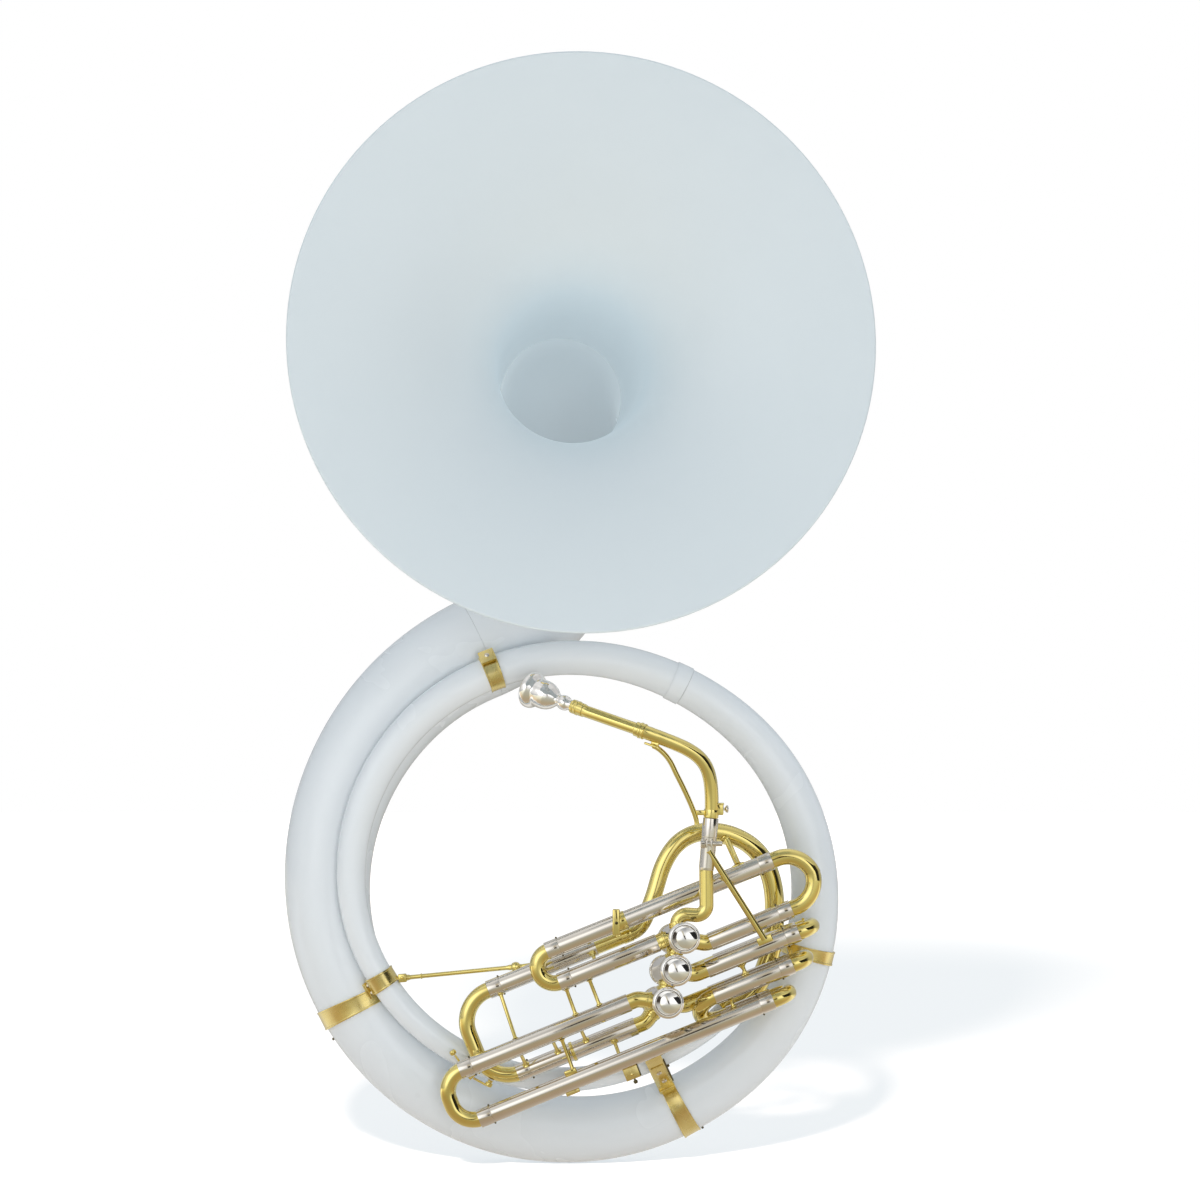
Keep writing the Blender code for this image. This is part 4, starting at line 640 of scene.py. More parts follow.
def tube(stations, radius, wall, sides=36, side=FORWARD):
    """A bent tube with its wall; radius is one number or one for each station."""
    outside = []
    inside = []
    for index, (point, along) in enumerate(stations):
        outer = radius[index] if isinstance(radius, list) else radius
        frame_here = placed(point, along, side)
        side = frame_here.to_3x3().col[0]
        outside.append((frame_here, outer))
        inside.append((frame_here, outer - wall))
    return skin(outside + inside[::-1], sides, closed=True)


def block(centre, axes, size, edge):
    """A small plate or block turned to three axes, with its edges rounded."""
    bm = bmesh.new()
    bmesh.ops.create_cube(bm, size=1.0)
    bmesh.ops.scale(bm, verts=bm.verts, vec=Vector(size))
    bmesh.ops.bevel(bm, geom=bm.edges, offset=edge, segments=3, profile=0.5, affect="EDGES", material=-1)
    turn = Matrix(axes).transposed().to_4x4()
    bmesh.ops.transform(bm, matrix=Matrix.Translation(centre) @ turn, verts=bm.verts)
    return bm


def joined(*parts):
    """Several closed shapes in one piece."""
    whole = bmesh.new()
    for part in parts:
        carried = bpy.data.meshes.new("carried")
        part.to_mesh(carried)
        part.free()
        whole.from_mesh(carried)
        bpy.data.meshes.remove(carried)
    return whole


pieces = []


def show(name, bm, finish, body="body", nodes=(), sharp=38.0):
    """Make a finished piece that rides its body and stands for its nodes."""
    bmesh.ops.recalc_face_normals(bm, faces=bm.faces)
    mesh = bpy.data.meshes.new(name)
    bm.to_mesh(mesh)
    bm.free()
    mesh.shade_smooth()
    mesh.set_sharp_from_angle(angle=math.radians(sharp))
    material = finishes[finish]
    mesh.materials.append(material)
    item = bpy.data.objects.new(name, mesh)
    bpy.context.scene.collection.objects.link(item)
    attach(item, body)
    if nodes:
        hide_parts(*nodes)
    pieces.append(item)
    return item


print("shape tools ready")

# %% [markdown]
# ## The bell
# The bell is one shell of fiberglass laid up on a mould. It is a slow cone that opens faster and
# faster into a nearly flat face, which an exponential curve follows well, and its rim is rolled
# into a small bead. A lathe profile turned round the bell's axis gives exactly that.

# %% Bell
RING_CENTRE = Vector((-0.1585, 0.006, -0.2264))
SHELL_WALL = 0.0032
BELL_RADIUS = 0.330
BELL_LENGTH = 0.380
BELL_THROAT = 0.076
BELL_TAPER = 0.05
TAPER_DEPTH = 0.4
FLARE_LENGTH = 0.045
BELL_CENTRE = RING_CENTRE + Vector((0.0266, -0.3797, 0.6534))
BELL_AXIS = Vector((0.0742, -0.9895, 0.1237)).normalized()
BELL_TAIL = BELL_CENTRE - BELL_AXIS * BELL_LENGTH
BEAD_RADIUS = 0.0021
BELL_SIDES = 160
BELL_STEPS = 64
# Depths behind the rim over which the painted throat light comes in, and the share of it taken away at the elbow's coil
# end
THROAT_START = 0.03
THROAT_END = 0.19
THROAT_DIMMED = 0.75


def bell_radius(depth):
    """Outer radius of the bell at a depth behind its rim."""
    flare = BELL_RADIUS - BELL_THROAT - BELL_TAPER * TAPER_DEPTH
    return BELL_THROAT + BELL_TAPER * (TAPER_DEPTH - depth) + flare * math.exp(-depth / FLARE_LENGTH)


def bell_section():
    """The section of the shell: outside from the bead to the tail, back up the inside, the bead."""
    depths = [BELL_LENGTH * (step / BELL_STEPS) ** 2.2 for step in range(BELL_STEPS + 1)]
    outside = [(-depth, bell_radius(depth)) for depth in depths if depth > 0.0045]
    inside = []
    for depth in depths:
        lead = 0.0045 - 0.003 * math.exp(-depth / 0.06)
        reach = min(1.0, depth / 0.002)
        inside.append((-depth + lead, bell_radius(depth) - SHELL_WALL * (0.72 + 0.28 * reach)))
    inside[-1] = (-BELL_LENGTH, bell_radius(BELL_LENGTH) - SHELL_WALL)
    bead = []
    for step in range(13):
        turn = math.pi * step / 12.0
        bead.append((-0.0006 + BEAD_RADIUS * math.cos(turn), BELL_RADIUS - BEAD_RADIUS * (1.0 - math.sin(turn))))
    return outside + inside[::-1] + bead


def mark_painted_throat_light(item, centre_line, starts_deep=False):
    """Store on the inner wall how strongly the painted throat light applies: none near the rim, full deep inside, and
    weaker towards the coil when the piece starts deep.
    """
    layer = item.data.attributes.new("throat", "FLOAT", "POINT")
    tree = KDTree(len(centre_line))
    for index, point in enumerate(centre_line):
        tree.insert(point, index)
    tree.balance()
    for vert in item.data.vertices:
        nearest, index, _ = tree.find(vert.co)
        depth = (BELL_CENTRE - vert.co).dot(BELL_AXIS)
        if vert.normal.dot(nearest - vert.co) > 0.0:
            share = min(1.0, max(0.0, (depth - THROAT_START) / (THROAT_END - THROAT_START)))
            dimmed = 1.0 - THROAT_DIMMED * (1.0 - index / len(centre_line)) if starts_deep else 1.0
            layer.data[vert.index].value = share * share * (3.0 - 2.0 * share) * dimmed


bell_bm = turned_ring(BELL_CENTRE, BELL_AXIS, bell_section(), UP, BELL_SIDES)
bell = show("bell_shell", bell_bm, "bell_gel_coat", "bell", ["bell"], sharp=60.0)
# The bell's inner wall gets the mask for its painted throat light
mark_painted_throat_light(bell, [BELL_CENTRE - BELL_AXIS * (BELL_LENGTH * step / 40.0) for step in range(41)])
print("bell", len(bell.data.polygons), "faces")

# %% [markdown]
# ## The coil
# The coil is a tube that shrinks from a fist's width to a thumb's as it winds once and a half
# round the player. Its centre line is a smooth curve through measured stations: the angle, the
# distance from the coil's centre, the tube's radius and its depth. The shell is a circle carried
# along that curve.

# %% The coil's curve
COIL = (
    (108, 0.3236, 0.0635, 0.048),
    (120, 0.3159, 0.0610, 0.040),
    (150, 0.2972, 0.0557, 0.025),
    (180, 0.2839, 0.0511, 0.015),
    (210, 0.2755, 0.0478, 0.005),
    (240, 0.2741, 0.0436, 0.000),
    (270, 0.2771, 0.0400, 0.000),
    (300, 0.2856, 0.0363, 0.000),
    (330, 0.2980, 0.0330, 0.000),
    (360, 0.3058, 0.0287, 0.000),
    (390, 0.3056, 0.0257, -0.003),
    (420, 0.2972, 0.0228, -0.012),
    (450, 0.2913, 0.0205, -0.025),
    (480, 0.2809, 0.0198, -0.038),
    (510, 0.2665, 0.0186, -0.048),
    (540, 0.2505, 0.0168, -0.050),
    (570, 0.2324, 0.0158, -0.048),
    (600, 0.2194, 0.0153, -0.044),
    (630, 0.2154, 0.0146, -0.040),
    (660, 0.2198, 0.0139, -0.040),
    (686, 0.2374, 0.0136, -0.043),
)
DRIFT_X = -0.0094
DRIFT_Z = -0.0744
COIL_START = 108.0
COIL_JOINT = 420.0
COIL_END = 686.0
SEAM_GAP = 0.0003


def coil_values(angle):
    """Distance, tube radius and depth at an angle, on a smooth curve through the stations."""
    last = len(COIL) - 1
    index = 0
    while index < last - 1 and COIL[index + 1][0] < angle:
        index += 1
    before = COIL[max(index - 1, 0)]
    start = COIL[index]
    end = COIL[index + 1]
    after = COIL[min(index + 2, last)]
    span = end[0] - start[0]
    t = (angle - start[0]) / span
    values = []
    for column in (1, 2, 3):
        slope_start = (end[column] - before[column]) / (end[0] - before[0]) * span
        slope_end = (after[column] - start[column]) / (after[0] - start[0]) * span
        value = (2 * t**3 - 3 * t**2 + 1) * start[column] + (t**3 - 2 * t**2 + t) * slope_start
        value += (-2 * t**3 + 3 * t**2) * end[column] + (t**3 - t**2) * slope_end
        values.append(value)
    return values


def coil_point(angle):
    """Centre of the coiled tube at an angle."""
    distance, _, depth = coil_values(angle)
    turn = math.radians(angle)
    x = distance * math.cos(turn) + DRIFT_X * depth
    z = distance * math.sin(turn) + DRIFT_Z * depth
    return RING_CENTRE + Vector((x, depth, z))


def coil_direction(angle):
    """Direction of the coiled tube towards its small end."""
    low = max(angle - 0.5, COIL_START)
    high = min(angle + 0.5, COIL_END)
    return (coil_point(high) - coil_point(low)).normalized()


def coil_inward(angle):
    """Direction from the coiled tube towards the coil's centre, square to the tube."""
    along = coil_direction(angle)
    inward = RING_CENTRE - coil_point(angle)
    inward.y = 0.0
    return (inward - along * inward.dot(along)).normalized()


print("coil ends at", [round(v, 4) for v in coil_point(COIL_END)])

# %% [markdown]
# The thick and the thin branch are separate mouldings. Where they meet, the thin one has a
# wider socket that grips the other's end, and the seam shows as a fine line round the tube.

# %% The two branches
SOCKET_ANGLE = 3.6
SOCKET_LIFT = 0.0013
LARGE_SIDES = 96
SMALL_SIDES = 72
COIL_STEP = 2.0


def spread(start, end, step):
    """Evenly spaced angles from start to end."""
    count = max(1, round((end - start) / step))
    return [start + (end - start) * index / count for index in range(count + 1)]


def branch(angles, lifts, sides):
    """A length of the coiled tube with its wall."""
    outside = []
    inside = []
    side = FORWARD
    for index, (angle, lift) in enumerate(zip(angles, lifts)):
        radius = coil_values(angle)[1]
        here = placed(coil_point(angle), coil_direction(angle), side)
        side = here.to_3x3().col[0]
        outside.append((here, radius + lift))
        if index % 3 == 0 or index == len(angles) - 1:
            inside.append((here, radius - SHELL_WALL))
    return skin(outside + inside[::-1], sides, closed=True)


large_angles = spread(COIL_START, COIL_JOINT, COIL_STEP)
large = show("large_branch_shell", branch(large_angles, [0.0] * len(large_angles), LARGE_SIDES),
             "fiberglass", nodes=["large_branch"])

socket_start = COIL_JOINT + 0.08
socket_end = socket_start + SOCKET_ANGLE
socket_angles = [socket_start, socket_start + 0.06] + spread(socket_start + 0.2, socket_end - 0.12, 0.9)
socket_lifts = [SOCKET_LIFT * 0.75] + [SOCKET_LIFT] * (len(socket_angles) - 1)
socket_angles += [socket_end - 0.04, socket_end + 0.02, socket_end + 0.10]
socket_lifts += [SOCKET_LIFT * 0.80, SOCKET_LIFT * 0.20, 0.0]
rest_angles = spread(socket_end + 1.0, COIL_END, COIL_STEP)
small = show("small_branch_shell",
             branch(socket_angles + rest_angles, socket_lifts + [0.0] * len(rest_angles), SMALL_SIDES),
             "fiberglass", nodes=["small_branch"])
print("branches", len(large.data.polygons), len(small.data.polygons))

# %% [markdown]
# ## The elbow and the bell joint
# Above the coil a short fat elbow turns the tube forward to the bell. Its path is a cubic curve
# between two directions that are both known: the coil's own and the bell's axis. The bell slips
# into a brass ring at the elbow's mouth and three knurled thumb screws hold it there.

# %% Elbow
REACH_IN = 0.20
REACH_OUT = 0.26
ELBOW_END_RADIUS = 0.0770
ELBOW_FULLNESS = 0.0012
ELBOW_STEPS = 56


def elbow_stations():
    """Points, directions and radii along the elbow."""
    into = -coil_direction(COIL_START)
    start = coil_point(COIL_START) + into * SEAM_GAP
    end = BELL_TAIL - BELL_AXIS * SEAM_GAP
    one = start + into * REACH_IN
    two = end - BELL_AXIS * REACH_OUT
    stations = []
    radii = []
    for index in range(ELBOW_STEPS + 1):
        t = index / ELBOW_STEPS
        s = 1.0 - t
        point = start * s**3 + one * 3 * s**2 * t + two * 3 * s * t**2 + end * t**3
        along = (one - start) * s**2 + (two - one) * 2 * s * t + (end - two) * t**2
        stations.append((point, along.normalized()))
        radii.append(COIL[0][2] + (ELBOW_END_RADIUS - COIL[0][2]) * t - ELBOW_FULLNESS * math.sin(math.pi * t))
    return stations, radii


elbow_path, elbow_radii = elbow_stations()
elbow = show("bell_elbow_shell", tube(elbow_path, elbow_radii, SHELL_WALL, 96, UP), "elbow_gel_coat",
             nodes=["bell_elbow"])
# The elbow's inner wall gets the painted throat light too, weaker towards the coil
mark_painted_throat_light(elbow, [point for point, _ in elbow_path], True)

# %% Bell ring and thumb screws
RING_BORE = 0.0800
RING_RADIUS = 0.0822
RING_HALF = 0.022
SCREW_FORWARD = 0.008


def knurled(bm, axis, base, low, high, radius):
    """Raise small pads on the faces of a turned rim between two distances along its axis."""
    bm.normal_update()
    rim = []
    for face in bm.faces:
        offset = face.calc_center_median() - base
        distance = offset.dot(axis)
        away = (offset - axis * distance).length
        if low < distance < high and away > radius * 0.9 and abs(face.normal.dot(axis)) < 0.3:
            rim.append(face)
    bmesh.ops.inset_individual(bm, faces=rim, thickness=radius * 0.018, depth=radius * 0.028)
    return bm


ring_profile = softened([(-RING_HALF, RING_BORE), (-RING_HALF, RING_RADIUS + 0.0009),
                         (-RING_HALF + 0.003, RING_RADIUS + 0.0009), (-RING_HALF + 0.004, RING_RADIUS),
                         (RING_HALF - 0.004, RING_RADIUS), (RING_HALF - 0.003, RING_RADIUS + 0.0009),
                         (RING_HALF, RING_RADIUS + 0.0009), (RING_HALF, RING_BORE)], 0.0004)
show("bell_ring_band", turned_ring(BELL_TAIL, BELL_AXIS, ring_profile, UP, 128), "brass", nodes=["bell_ring"])

tail_frame = placed(BELL_TAIL, BELL_AXIS, UP).to_3x3()
screw_spot = BELL_TAIL + BELL_AXIS * SCREW_FORWARD
for number in (1, 2, 3):
    angle = math.radians(120.0 * number - 30.0)
    outward = tail_frame @ Vector((math.cos(angle), math.sin(angle), 0.0))
    profile = softened([(0.0798, 0.0028), (0.0868, 0.0028), (0.0868, 0.0058), (0.0905, 0.0058),
                        (0.0905, 0.0040), (0.0922, 0.0040), (0.0922, 0.0083), (0.0963, 0.0083)],
                       0.0003, closed=False)
    head = knurled(turned(screw_spot, outward, profile, BELL_AXIS, 36), outward, screw_spot,
                   0.0925, 0.0961, 0.0083)
    name = "bell_screw_%d" % number
    show(name + "_turned", head, "brass", name, [name])
print("bell joint pieces", len(pieces))

# %% [markdown]
# ## Straps
# Brass straps tie the coil to itself and carry the valve section. Each is a strip rolled round
# the tube, with its two edges raised a little so it stays stiff. The strip follows the coil's
# own curve and taper, so it lies snug, as one that was bent in place does.

# %% Strap tools
def coil_strap(angle, width, skew=0.0):
    """A snug strip round the coiled tube with raised edges, turned a few degrees if it sits askew."""
    turn = Matrix.Rotation(math.radians(skew), 3, FORWARD)
    half = width / 2.0
    lip = 0.0016
    section = softened([(-half, 0.0003), (-half, 0.0026), (-half + lip, 0.0026), (-half + lip + 0.0005, 0.0021),
                        (half - lip - 0.0005, 0.0021), (half - lip, 0.0026), (half, 0.0026), (half, 0.0003)],
                       0.00025)
    rings = []
    for distance, lift in section:
        spot = angle + math.degrees(distance / coil_values(angle)[0])
        centre = coil_point(angle) + turn @ (coil_point(spot) - coil_point(angle))
        here = placed(centre, turn @ coil_direction(spot), FORWARD)
        rings.append((here, coil_values(spot)[1] + lift))
    return skin(rings, 96, closed=True)


def slotted_screw(base, axis, across, radius):
    """A round screw head with a driver's slot cut into it by moving the middle of its dome down."""
    bm = bmesh.new()
    bmesh.ops.create_grid(bm, x_segments=12, y_segments=12, size=radius)
    for vert in bm.verts:
        reach = min(1.0, max(abs(vert.co.x), abs(vert.co.y)) / radius)
        flat = Vector((vert.co.x, vert.co.y, 0.0))
        if flat.length > 0.0:
            flat = flat.normalized() * reach * radius
        dome = radius * 0.55 * math.sqrt(max(0.0, 1.0 - reach**2 * 0.92))
        slot = radius * 0.28 if abs(flat.y) < radius * 0.12 and reach < 0.95 else 0.0
        vert.co = Vector((flat.x, flat.y, dome - slot + radius * 0.10))
    rim = [edge for edge in bm.edges if edge.is_boundary]
    grown = bmesh.ops.extrude_edge_only(bm, edges=rim)["geom"]
    low = [part for part in grown if isinstance(part, bmesh.types.BMVert)]
    for vert in low:
        vert.co.z = -radius * 0.25
    bmesh.ops.contextual_create(bm, geom=[e for e in bm.edges if e.is_boundary])
    bmesh.ops.recalc_face_normals(bm, faces=bm.faces)
    bmesh.ops.transform(bm, matrix=placed(base, axis, across), verts=bm.verts)
    return bm


print("strap tools ready")

# %% [markdown]
# The upper strap closes with a tab and a round-head screw on the elbow's foot. The left one is
# a pair of bands, one round each branch, pinched together by a screw between them.

# %% Upper and left straps
UPPER_STRAP = 467.0
LEFT_STRAP = 207.0
LEFT_INNER = 564.0
BOTTOM_STRAP = 299.0
RIGHT_STRAP = 348.0
STRAP_WIDTH = 0.019

upper_along = coil_direction(UPPER_STRAP)
upper_out = FORWARD * 0.8 - coil_inward(UPPER_STRAP) * 0.6
upper_out = (upper_out - upper_along * upper_out.dot(upper_along)).normalized()
upper_across = upper_out.cross(upper_along)
tab_centre = coil_point(UPPER_STRAP) + upper_out * 0.0225 - coil_inward(UPPER_STRAP) * 0.0075
tab_face = (upper_out * 0.96 + upper_across * 0.0).normalized()
upper = joined(coil_strap(UPPER_STRAP, STRAP_WIDTH),
               block(tab_centre, (tab_face, upper_along, tab_face.cross(upper_along)), (0.0022, 0.0190, 0.0170), 0.0006),
               block(tab_centre - tab_face * 0.0035, (tab_face, upper_along, tab_face.cross(upper_along)),
                     (0.0060, 0.0150, 0.0120), 0.0008))
show("upper_strap_band", upper, "strap_brass", nodes=["upper_strap"])
show("upper_strap_screw", slotted_screw(tab_centre + tab_face * 0.0012, tab_face, upper_along, 0.0030),
     "nickel_silver")

thin_spot = coil_point(LEFT_INNER)
thick_spot = coil_point(LEFT_STRAP)
towards = (thick_spot - thin_spot).normalized()
left_along = coil_direction(LEFT_STRAP)
thin_edge = coil_values(LEFT_INNER)[1]
thick_edge = coil_values(LEFT_STRAP)[1]
space = (thick_spot - thin_spot).length - thin_edge - thick_edge
middle = thin_spot + towards * (thin_edge + space / 2.0)
left_front = towards.cross(left_along)
if left_front.dot(FORWARD) < 0.0:
    left_front = -left_front
left_axes = (towards, left_along, towards.cross(left_along))
left = joined(coil_strap(LEFT_STRAP, STRAP_WIDTH + 0.001, -3.2), coil_strap(LEFT_INNER, STRAP_WIDTH),
              block(middle, left_axes, (space + 0.0040, 0.0205, 0.0110), 0.0012),
              block(middle + left_front * 0.0085, left_axes, (0.0022, 0.0205, 0.0110), 0.0005),
              block(middle + left_front * 0.0085 + towards * 0.0034, left_axes, (0.0022, 0.0205, 0.0110), 0.0005))
show("left_strap_bands", left, "strap_brass", nodes=["left_strap"])
left_screws = joined(
    slotted_screw(middle + left_front * 0.0100 - towards * 0.0022 + left_along * 0.0050, -towards, left_along, 0.0027),
    slotted_screw(middle + left_front * 0.0100 - towards * 0.0022 - left_along * 0.0050, -towards, left_along, 0.0027))
show("left_strap_screws", left_screws, "nickel_silver")
print("strap gap on the left", round(space, 4))

# %% [markdown]
# The stay rod runs from a lug on the left strap to the main slide. It is a slim rod with a
# flared foot at each end and a ball that lets it be turned to length.

# %% Slides' frame and the stay rod
SLIDE_ORIGIN = Vector((0.1406, 0.0, -0.0736))
SLIDE_ANGLE = math.radians(22.0)
ALONG = Vector((math.cos(SLIDE_ANGLE), 0.0, math.sin(SLIDE_ANGLE)))
ACROSS = Vector((-math.sin(SLIDE_ANGLE), 0.0, math.cos(SLIDE_ANGLE)))
FRONT = -0.108
BACK = -0.074
FIRST_UPPER_ROW = 0.0780
MAIN_UPPER_ROW = 0.0590
FIRST_LEFT_ROW = 0.0386
FIRST_RIGHT_ROW = 0.0166
THIRD_UPPER_ROW = -0.0142
SECOND_ROW = -0.0124
THIRD_RETURN_ROW = -0.0453
MAIN_LOWER_ROW = -0.0465
THIRD_LOWER_ROW = -0.0757
TUBE_RADIUS = 0.0096
TUBE_WALL = 0.0007
SLEEVE_RADIUS = 0.0107
COLLAR_RADIUS = 0.0110


def ring_point(x, y, z):
    """A point given from the coil's centre."""
    return RING_CENTRE + Vector((x, y, z))


def slide_point(a, b, y):
    """A point given along and across the slides, at depth y."""
    return RING_CENTRE + SLIDE_ORIGIN + ALONG * a + ACROSS * b + Vector((0.0, y, 0.0))


stay_end = slide_point(-0.1600, MAIN_UPPER_ROW + 0.0065, BACK + 0.0070)
stay_way = (stay_end - thin_spot).normalized()
stay_slant = stay_way.cross(coil_direction(LEFT_INNER)).length
stay_start = thin_spot + stay_way * ((thin_edge + 0.0038) / stay_slant + 0.0080)
stay_length = (stay_end - stay_start).length
ball = stay_length - 0.0225
stay_profile = [(0.0, 0.0036), (0.0030, 0.0034), (0.0044, 0.0027), (0.0170, 0.0026), (0.0172, 0.0034),
                (0.0184, 0.0034), (0.0186, 0.0026), (ball - 0.0110, 0.0026), (ball - 0.0070, 0.0034),
                (ball - 0.0050, 0.0034), (ball - 0.0036, 0.0052), (ball, 0.0062), (ball + 0.0036, 0.0052),
                (ball + 0.0052, 0.0030), (ball + 0.0075, 0.0027), (stay_length - 0.0040, 0.0032),
                (stay_length, 0.0044)]
show("left_stay_turned", turned(stay_start, stay_way, softened(stay_profile, 0.0008, closed=False), UP, 32),
     "brass", nodes=["left_stay_rod"])
lug_across = UP.cross(stay_way).normalized()
lug = joined(block(stay_start - stay_way * 0.0052, (stay_way, lug_across, stay_way.cross(lug_across)),
                   (0.0100, 0.0070, 0.0100), 0.0012),
             slotted_screw(stay_start - stay_way * 0.0052 + lug_across * 0.0034, lug_across, stay_way, 0.0024)
             if lug_across.dot(FORWARD) > 0.0 else
             slotted_screw(stay_start - stay_way * 0.0052 - lug_across * 0.0034, -lug_across, stay_way, 0.0024))
show("left_strap_lug", lug, "brass")
print("stay rod", round(stay_length, 4), "m")

# %% [markdown]
# The bottom strap has a flat arm that reaches up to the third slide and is held by two slotted
# screws, with a stiffening flange along one side. The right strap's arm reaches in behind the
# second slide.

# %% Bottom and right straps
def strap_arm(angle, tube_point, width, thickness):
    """A flat arm from a strap to a slide tube, with its directions."""
    along = coil_direction(angle)
    lean = (coil_inward(angle) + FORWARD).normalized()
    start = coil_point(angle) + lean * (coil_values(angle)[1] + 0.0012)
    reach = (tube_point - start).normalized()
    end = tube_point - reach * 0.0098
    width_axis = (along - reach * along.dot(reach)).normalized()
    face = reach.cross(width_axis)
    if face.dot(FORWARD) < 0.0:
        face = -face
    axes = (reach, width_axis, reach.cross(width_axis))
    arm = block((start + end) / 2.0, axes, ((end - start).length, width, thickness), 0.0006)
    foot = block(end - reach * 0.0012, axes, (0.0030, width + 0.0020, thickness + 0.0030), 0.0007)
    return joined(arm, foot), start, end, reach, width_axis, face, axes


third_rest = slide_point(-0.0700, THIRD_LOWER_ROW, FRONT)
arm, start, end, reach, width_axis, face, axes = strap_arm(BOTTOM_STRAP, third_rest, 0.0205, 0.0024)
run = (end - start).length
right = width_axis if width_axis.x > 0.0 else -width_axis
# The flange along the arm's side and its small knob are painted nearly black: painted shade on the side face
flange_spot = start.lerp(end, 0.46) + right * 0.0108 + face * 0.0006
flange = joined(block(flange_spot, axes, (run * 0.52, 0.0017, 0.0064), 0.0003),
                turned(flange_spot + reach * run * 0.10, right, [(0.0, 0.0016), (0.0022, 0.0018), (0.0036, 0.0012)], face, 16))
show("bottom_strap_flange", flange, "aged_brass")
fold = block(start + reach * 0.0020 + face * 0.0020, axes, (0.0060, 0.0205, 0.0026), 0.0006)
plate = block(start.lerp(end, 0.42) + face * 0.0019, axes, (run * 0.50, 0.0160, 0.0014), 0.0004)
show("bottom_strap_band", joined(coil_strap(BOTTOM_STRAP + 0.5, STRAP_WIDTH, 2.7), arm, fold, plate), "strap_brass",
     nodes=["bottom_strap"])
bottom_screws = joined(
    slotted_screw(start.lerp(end, 0.52) + face * 0.0026 - width_axis * 0.0008, face, reach, 0.0031),
    slotted_screw(start.lerp(end, 0.28) + face * 0.0026 + width_axis * 0.0008, face, reach, 0.0031))
show("bottom_strap_screws", bottom_screws, "nickel_silver")
print("bottom arm", round(run, 4), "m")

second_rest = slide_point(0.1320, SECOND_ROW, BACK)
arm, start, end, reach, width_axis, face, axes = strap_arm(RIGHT_STRAP, second_rest, 0.0150, 0.0024)
run = (end - start).length
fold = block(start + reach * 0.0010 + face * 0.0018, axes, (0.0024, 0.0165, 0.0040), 0.0006)
show("right_strap_band", joined(coil_strap(RIGHT_STRAP, 0.0150), arm, fold), "strap_brass", nodes=["right_strap"])
show("right_strap_screw", slotted_screw(start.lerp(end, 0.45) + face * 0.0013, face, reach, 0.0024),
     "nickel_silver")
print("right arm", round(run, 4), "m")

# Folded ends of the strips, seen on the coil's outer edge, painted nearly black as shade
ends = []
for angle, width in ((LEFT_STRAP + 4.0, STRAP_WIDTH), (BOTTOM_STRAP + 3.2, STRAP_WIDTH)):
    out = -coil_inward(angle)
    ends.append(block(coil_point(angle) + out * (coil_values(angle)[1] + 0.0008), (out, coil_direction(angle), FORWARD),
                      (0.0030, 0.0028, 0.0060), 0.0006))
show("strap_ends", joined(*ends), "aged_brass")

# %% [markdown]
# ## Slides
# Each slide is a brass bow whose two legs run in fixed outer tubes. The outer tubes are nickel
# silver, because it slides well on brass. Their open end has a collar, closed by a fine groove
# and two tiny stops. All of them are straight, so each is one lathe profile.

# %% Outer tubes
COLLAR_LENGTH = 0.0170
SLEEVE_BORE = 0.0101
FIRST_RIGHT_SEAM = 0.1490
FIRST_LEFT_SEAM = -0.1385
SECOND_SEAM = 0.1465
THIRD_LEFT_SEAM = -0.2868
THIRD_UPPER_SEAM = 0.1255
THIRD_LOWER_SEAM = 0.0885
MAIN_UPPER_SEAM = -0.2215
MAIN_LOWER_SEAM = -0.2265
ARCH_SEAM = -0.0440


def collar_profile(length, both):
    """Section of an outer tube from its open end; the other end closes on the pipe or opens too."""
    outer = [(0.0, SLEEVE_BORE), (0.0, COLLAR_RADIUS), (COLLAR_LENGTH - 0.0012, COLLAR_RADIUS),
             (COLLAR_LENGTH - 0.0011, COLLAR_RADIUS - 0.0006), (COLLAR_LENGTH - 0.0004, COLLAR_RADIUS - 0.0006),
             (COLLAR_LENGTH - 0.0003, SLEEVE_RADIUS)]
    if both:
        return outer + [(length - distance, radius) for distance, radius in outer[::-1]]
    return outer + [(length, SLEEVE_RADIUS), (length, TUBE_RADIUS + 0.00005),
                    (length - 0.004, TUBE_RADIUS + 0.00005), (length - 0.0042, SLEEVE_BORE)]


def stop_nub(seam, way, side):
    """A tiny stop on the collar's groove."""
    spot = seam + way * (COLLAR_LENGTH - 0.0008) + side * (COLLAR_RADIUS - 0.0004)
    return turned(spot, side, [(0.0, 0.0012), (0.0010, 0.0012), (0.0016, 0.0009), (0.0019, 0.0003)], way, 12)


def outer_tube(name, seam, way, length, nodes=(), both=False, nub_side=ACROSS):
    """A straight outer tube with its collar or collars."""
    profile = softened(collar_profile(length, both), 0.00018)
    ends = [(seam, way)] + ([(seam + way * length, -way)] if both else [])
    for point, inward in ends:
        stops.extend((stop_nub(point, inward, nub_side), stop_nub(point, inward, -nub_side)))
    return show(name, turned_ring(seam, way, profile, FORWARD, 48), "nickel_silver", nodes=nodes)


stops = []
first_length = FIRST_RIGHT_SEAM - FIRST_LEFT_SEAM
outer_tube("first_upper_outer", slide_point(FIRST_LEFT_SEAM, FIRST_UPPER_ROW, FRONT), ALONG, first_length,
           ["first_upper_tube"], both=True)
outer_tube("third_lower_outer", slide_point(THIRD_LEFT_SEAM, THIRD_LOWER_ROW, FRONT), ALONG,
           THIRD_LOWER_SEAM - THIRD_LEFT_SEAM, ["third_lower_tube"], both=True)
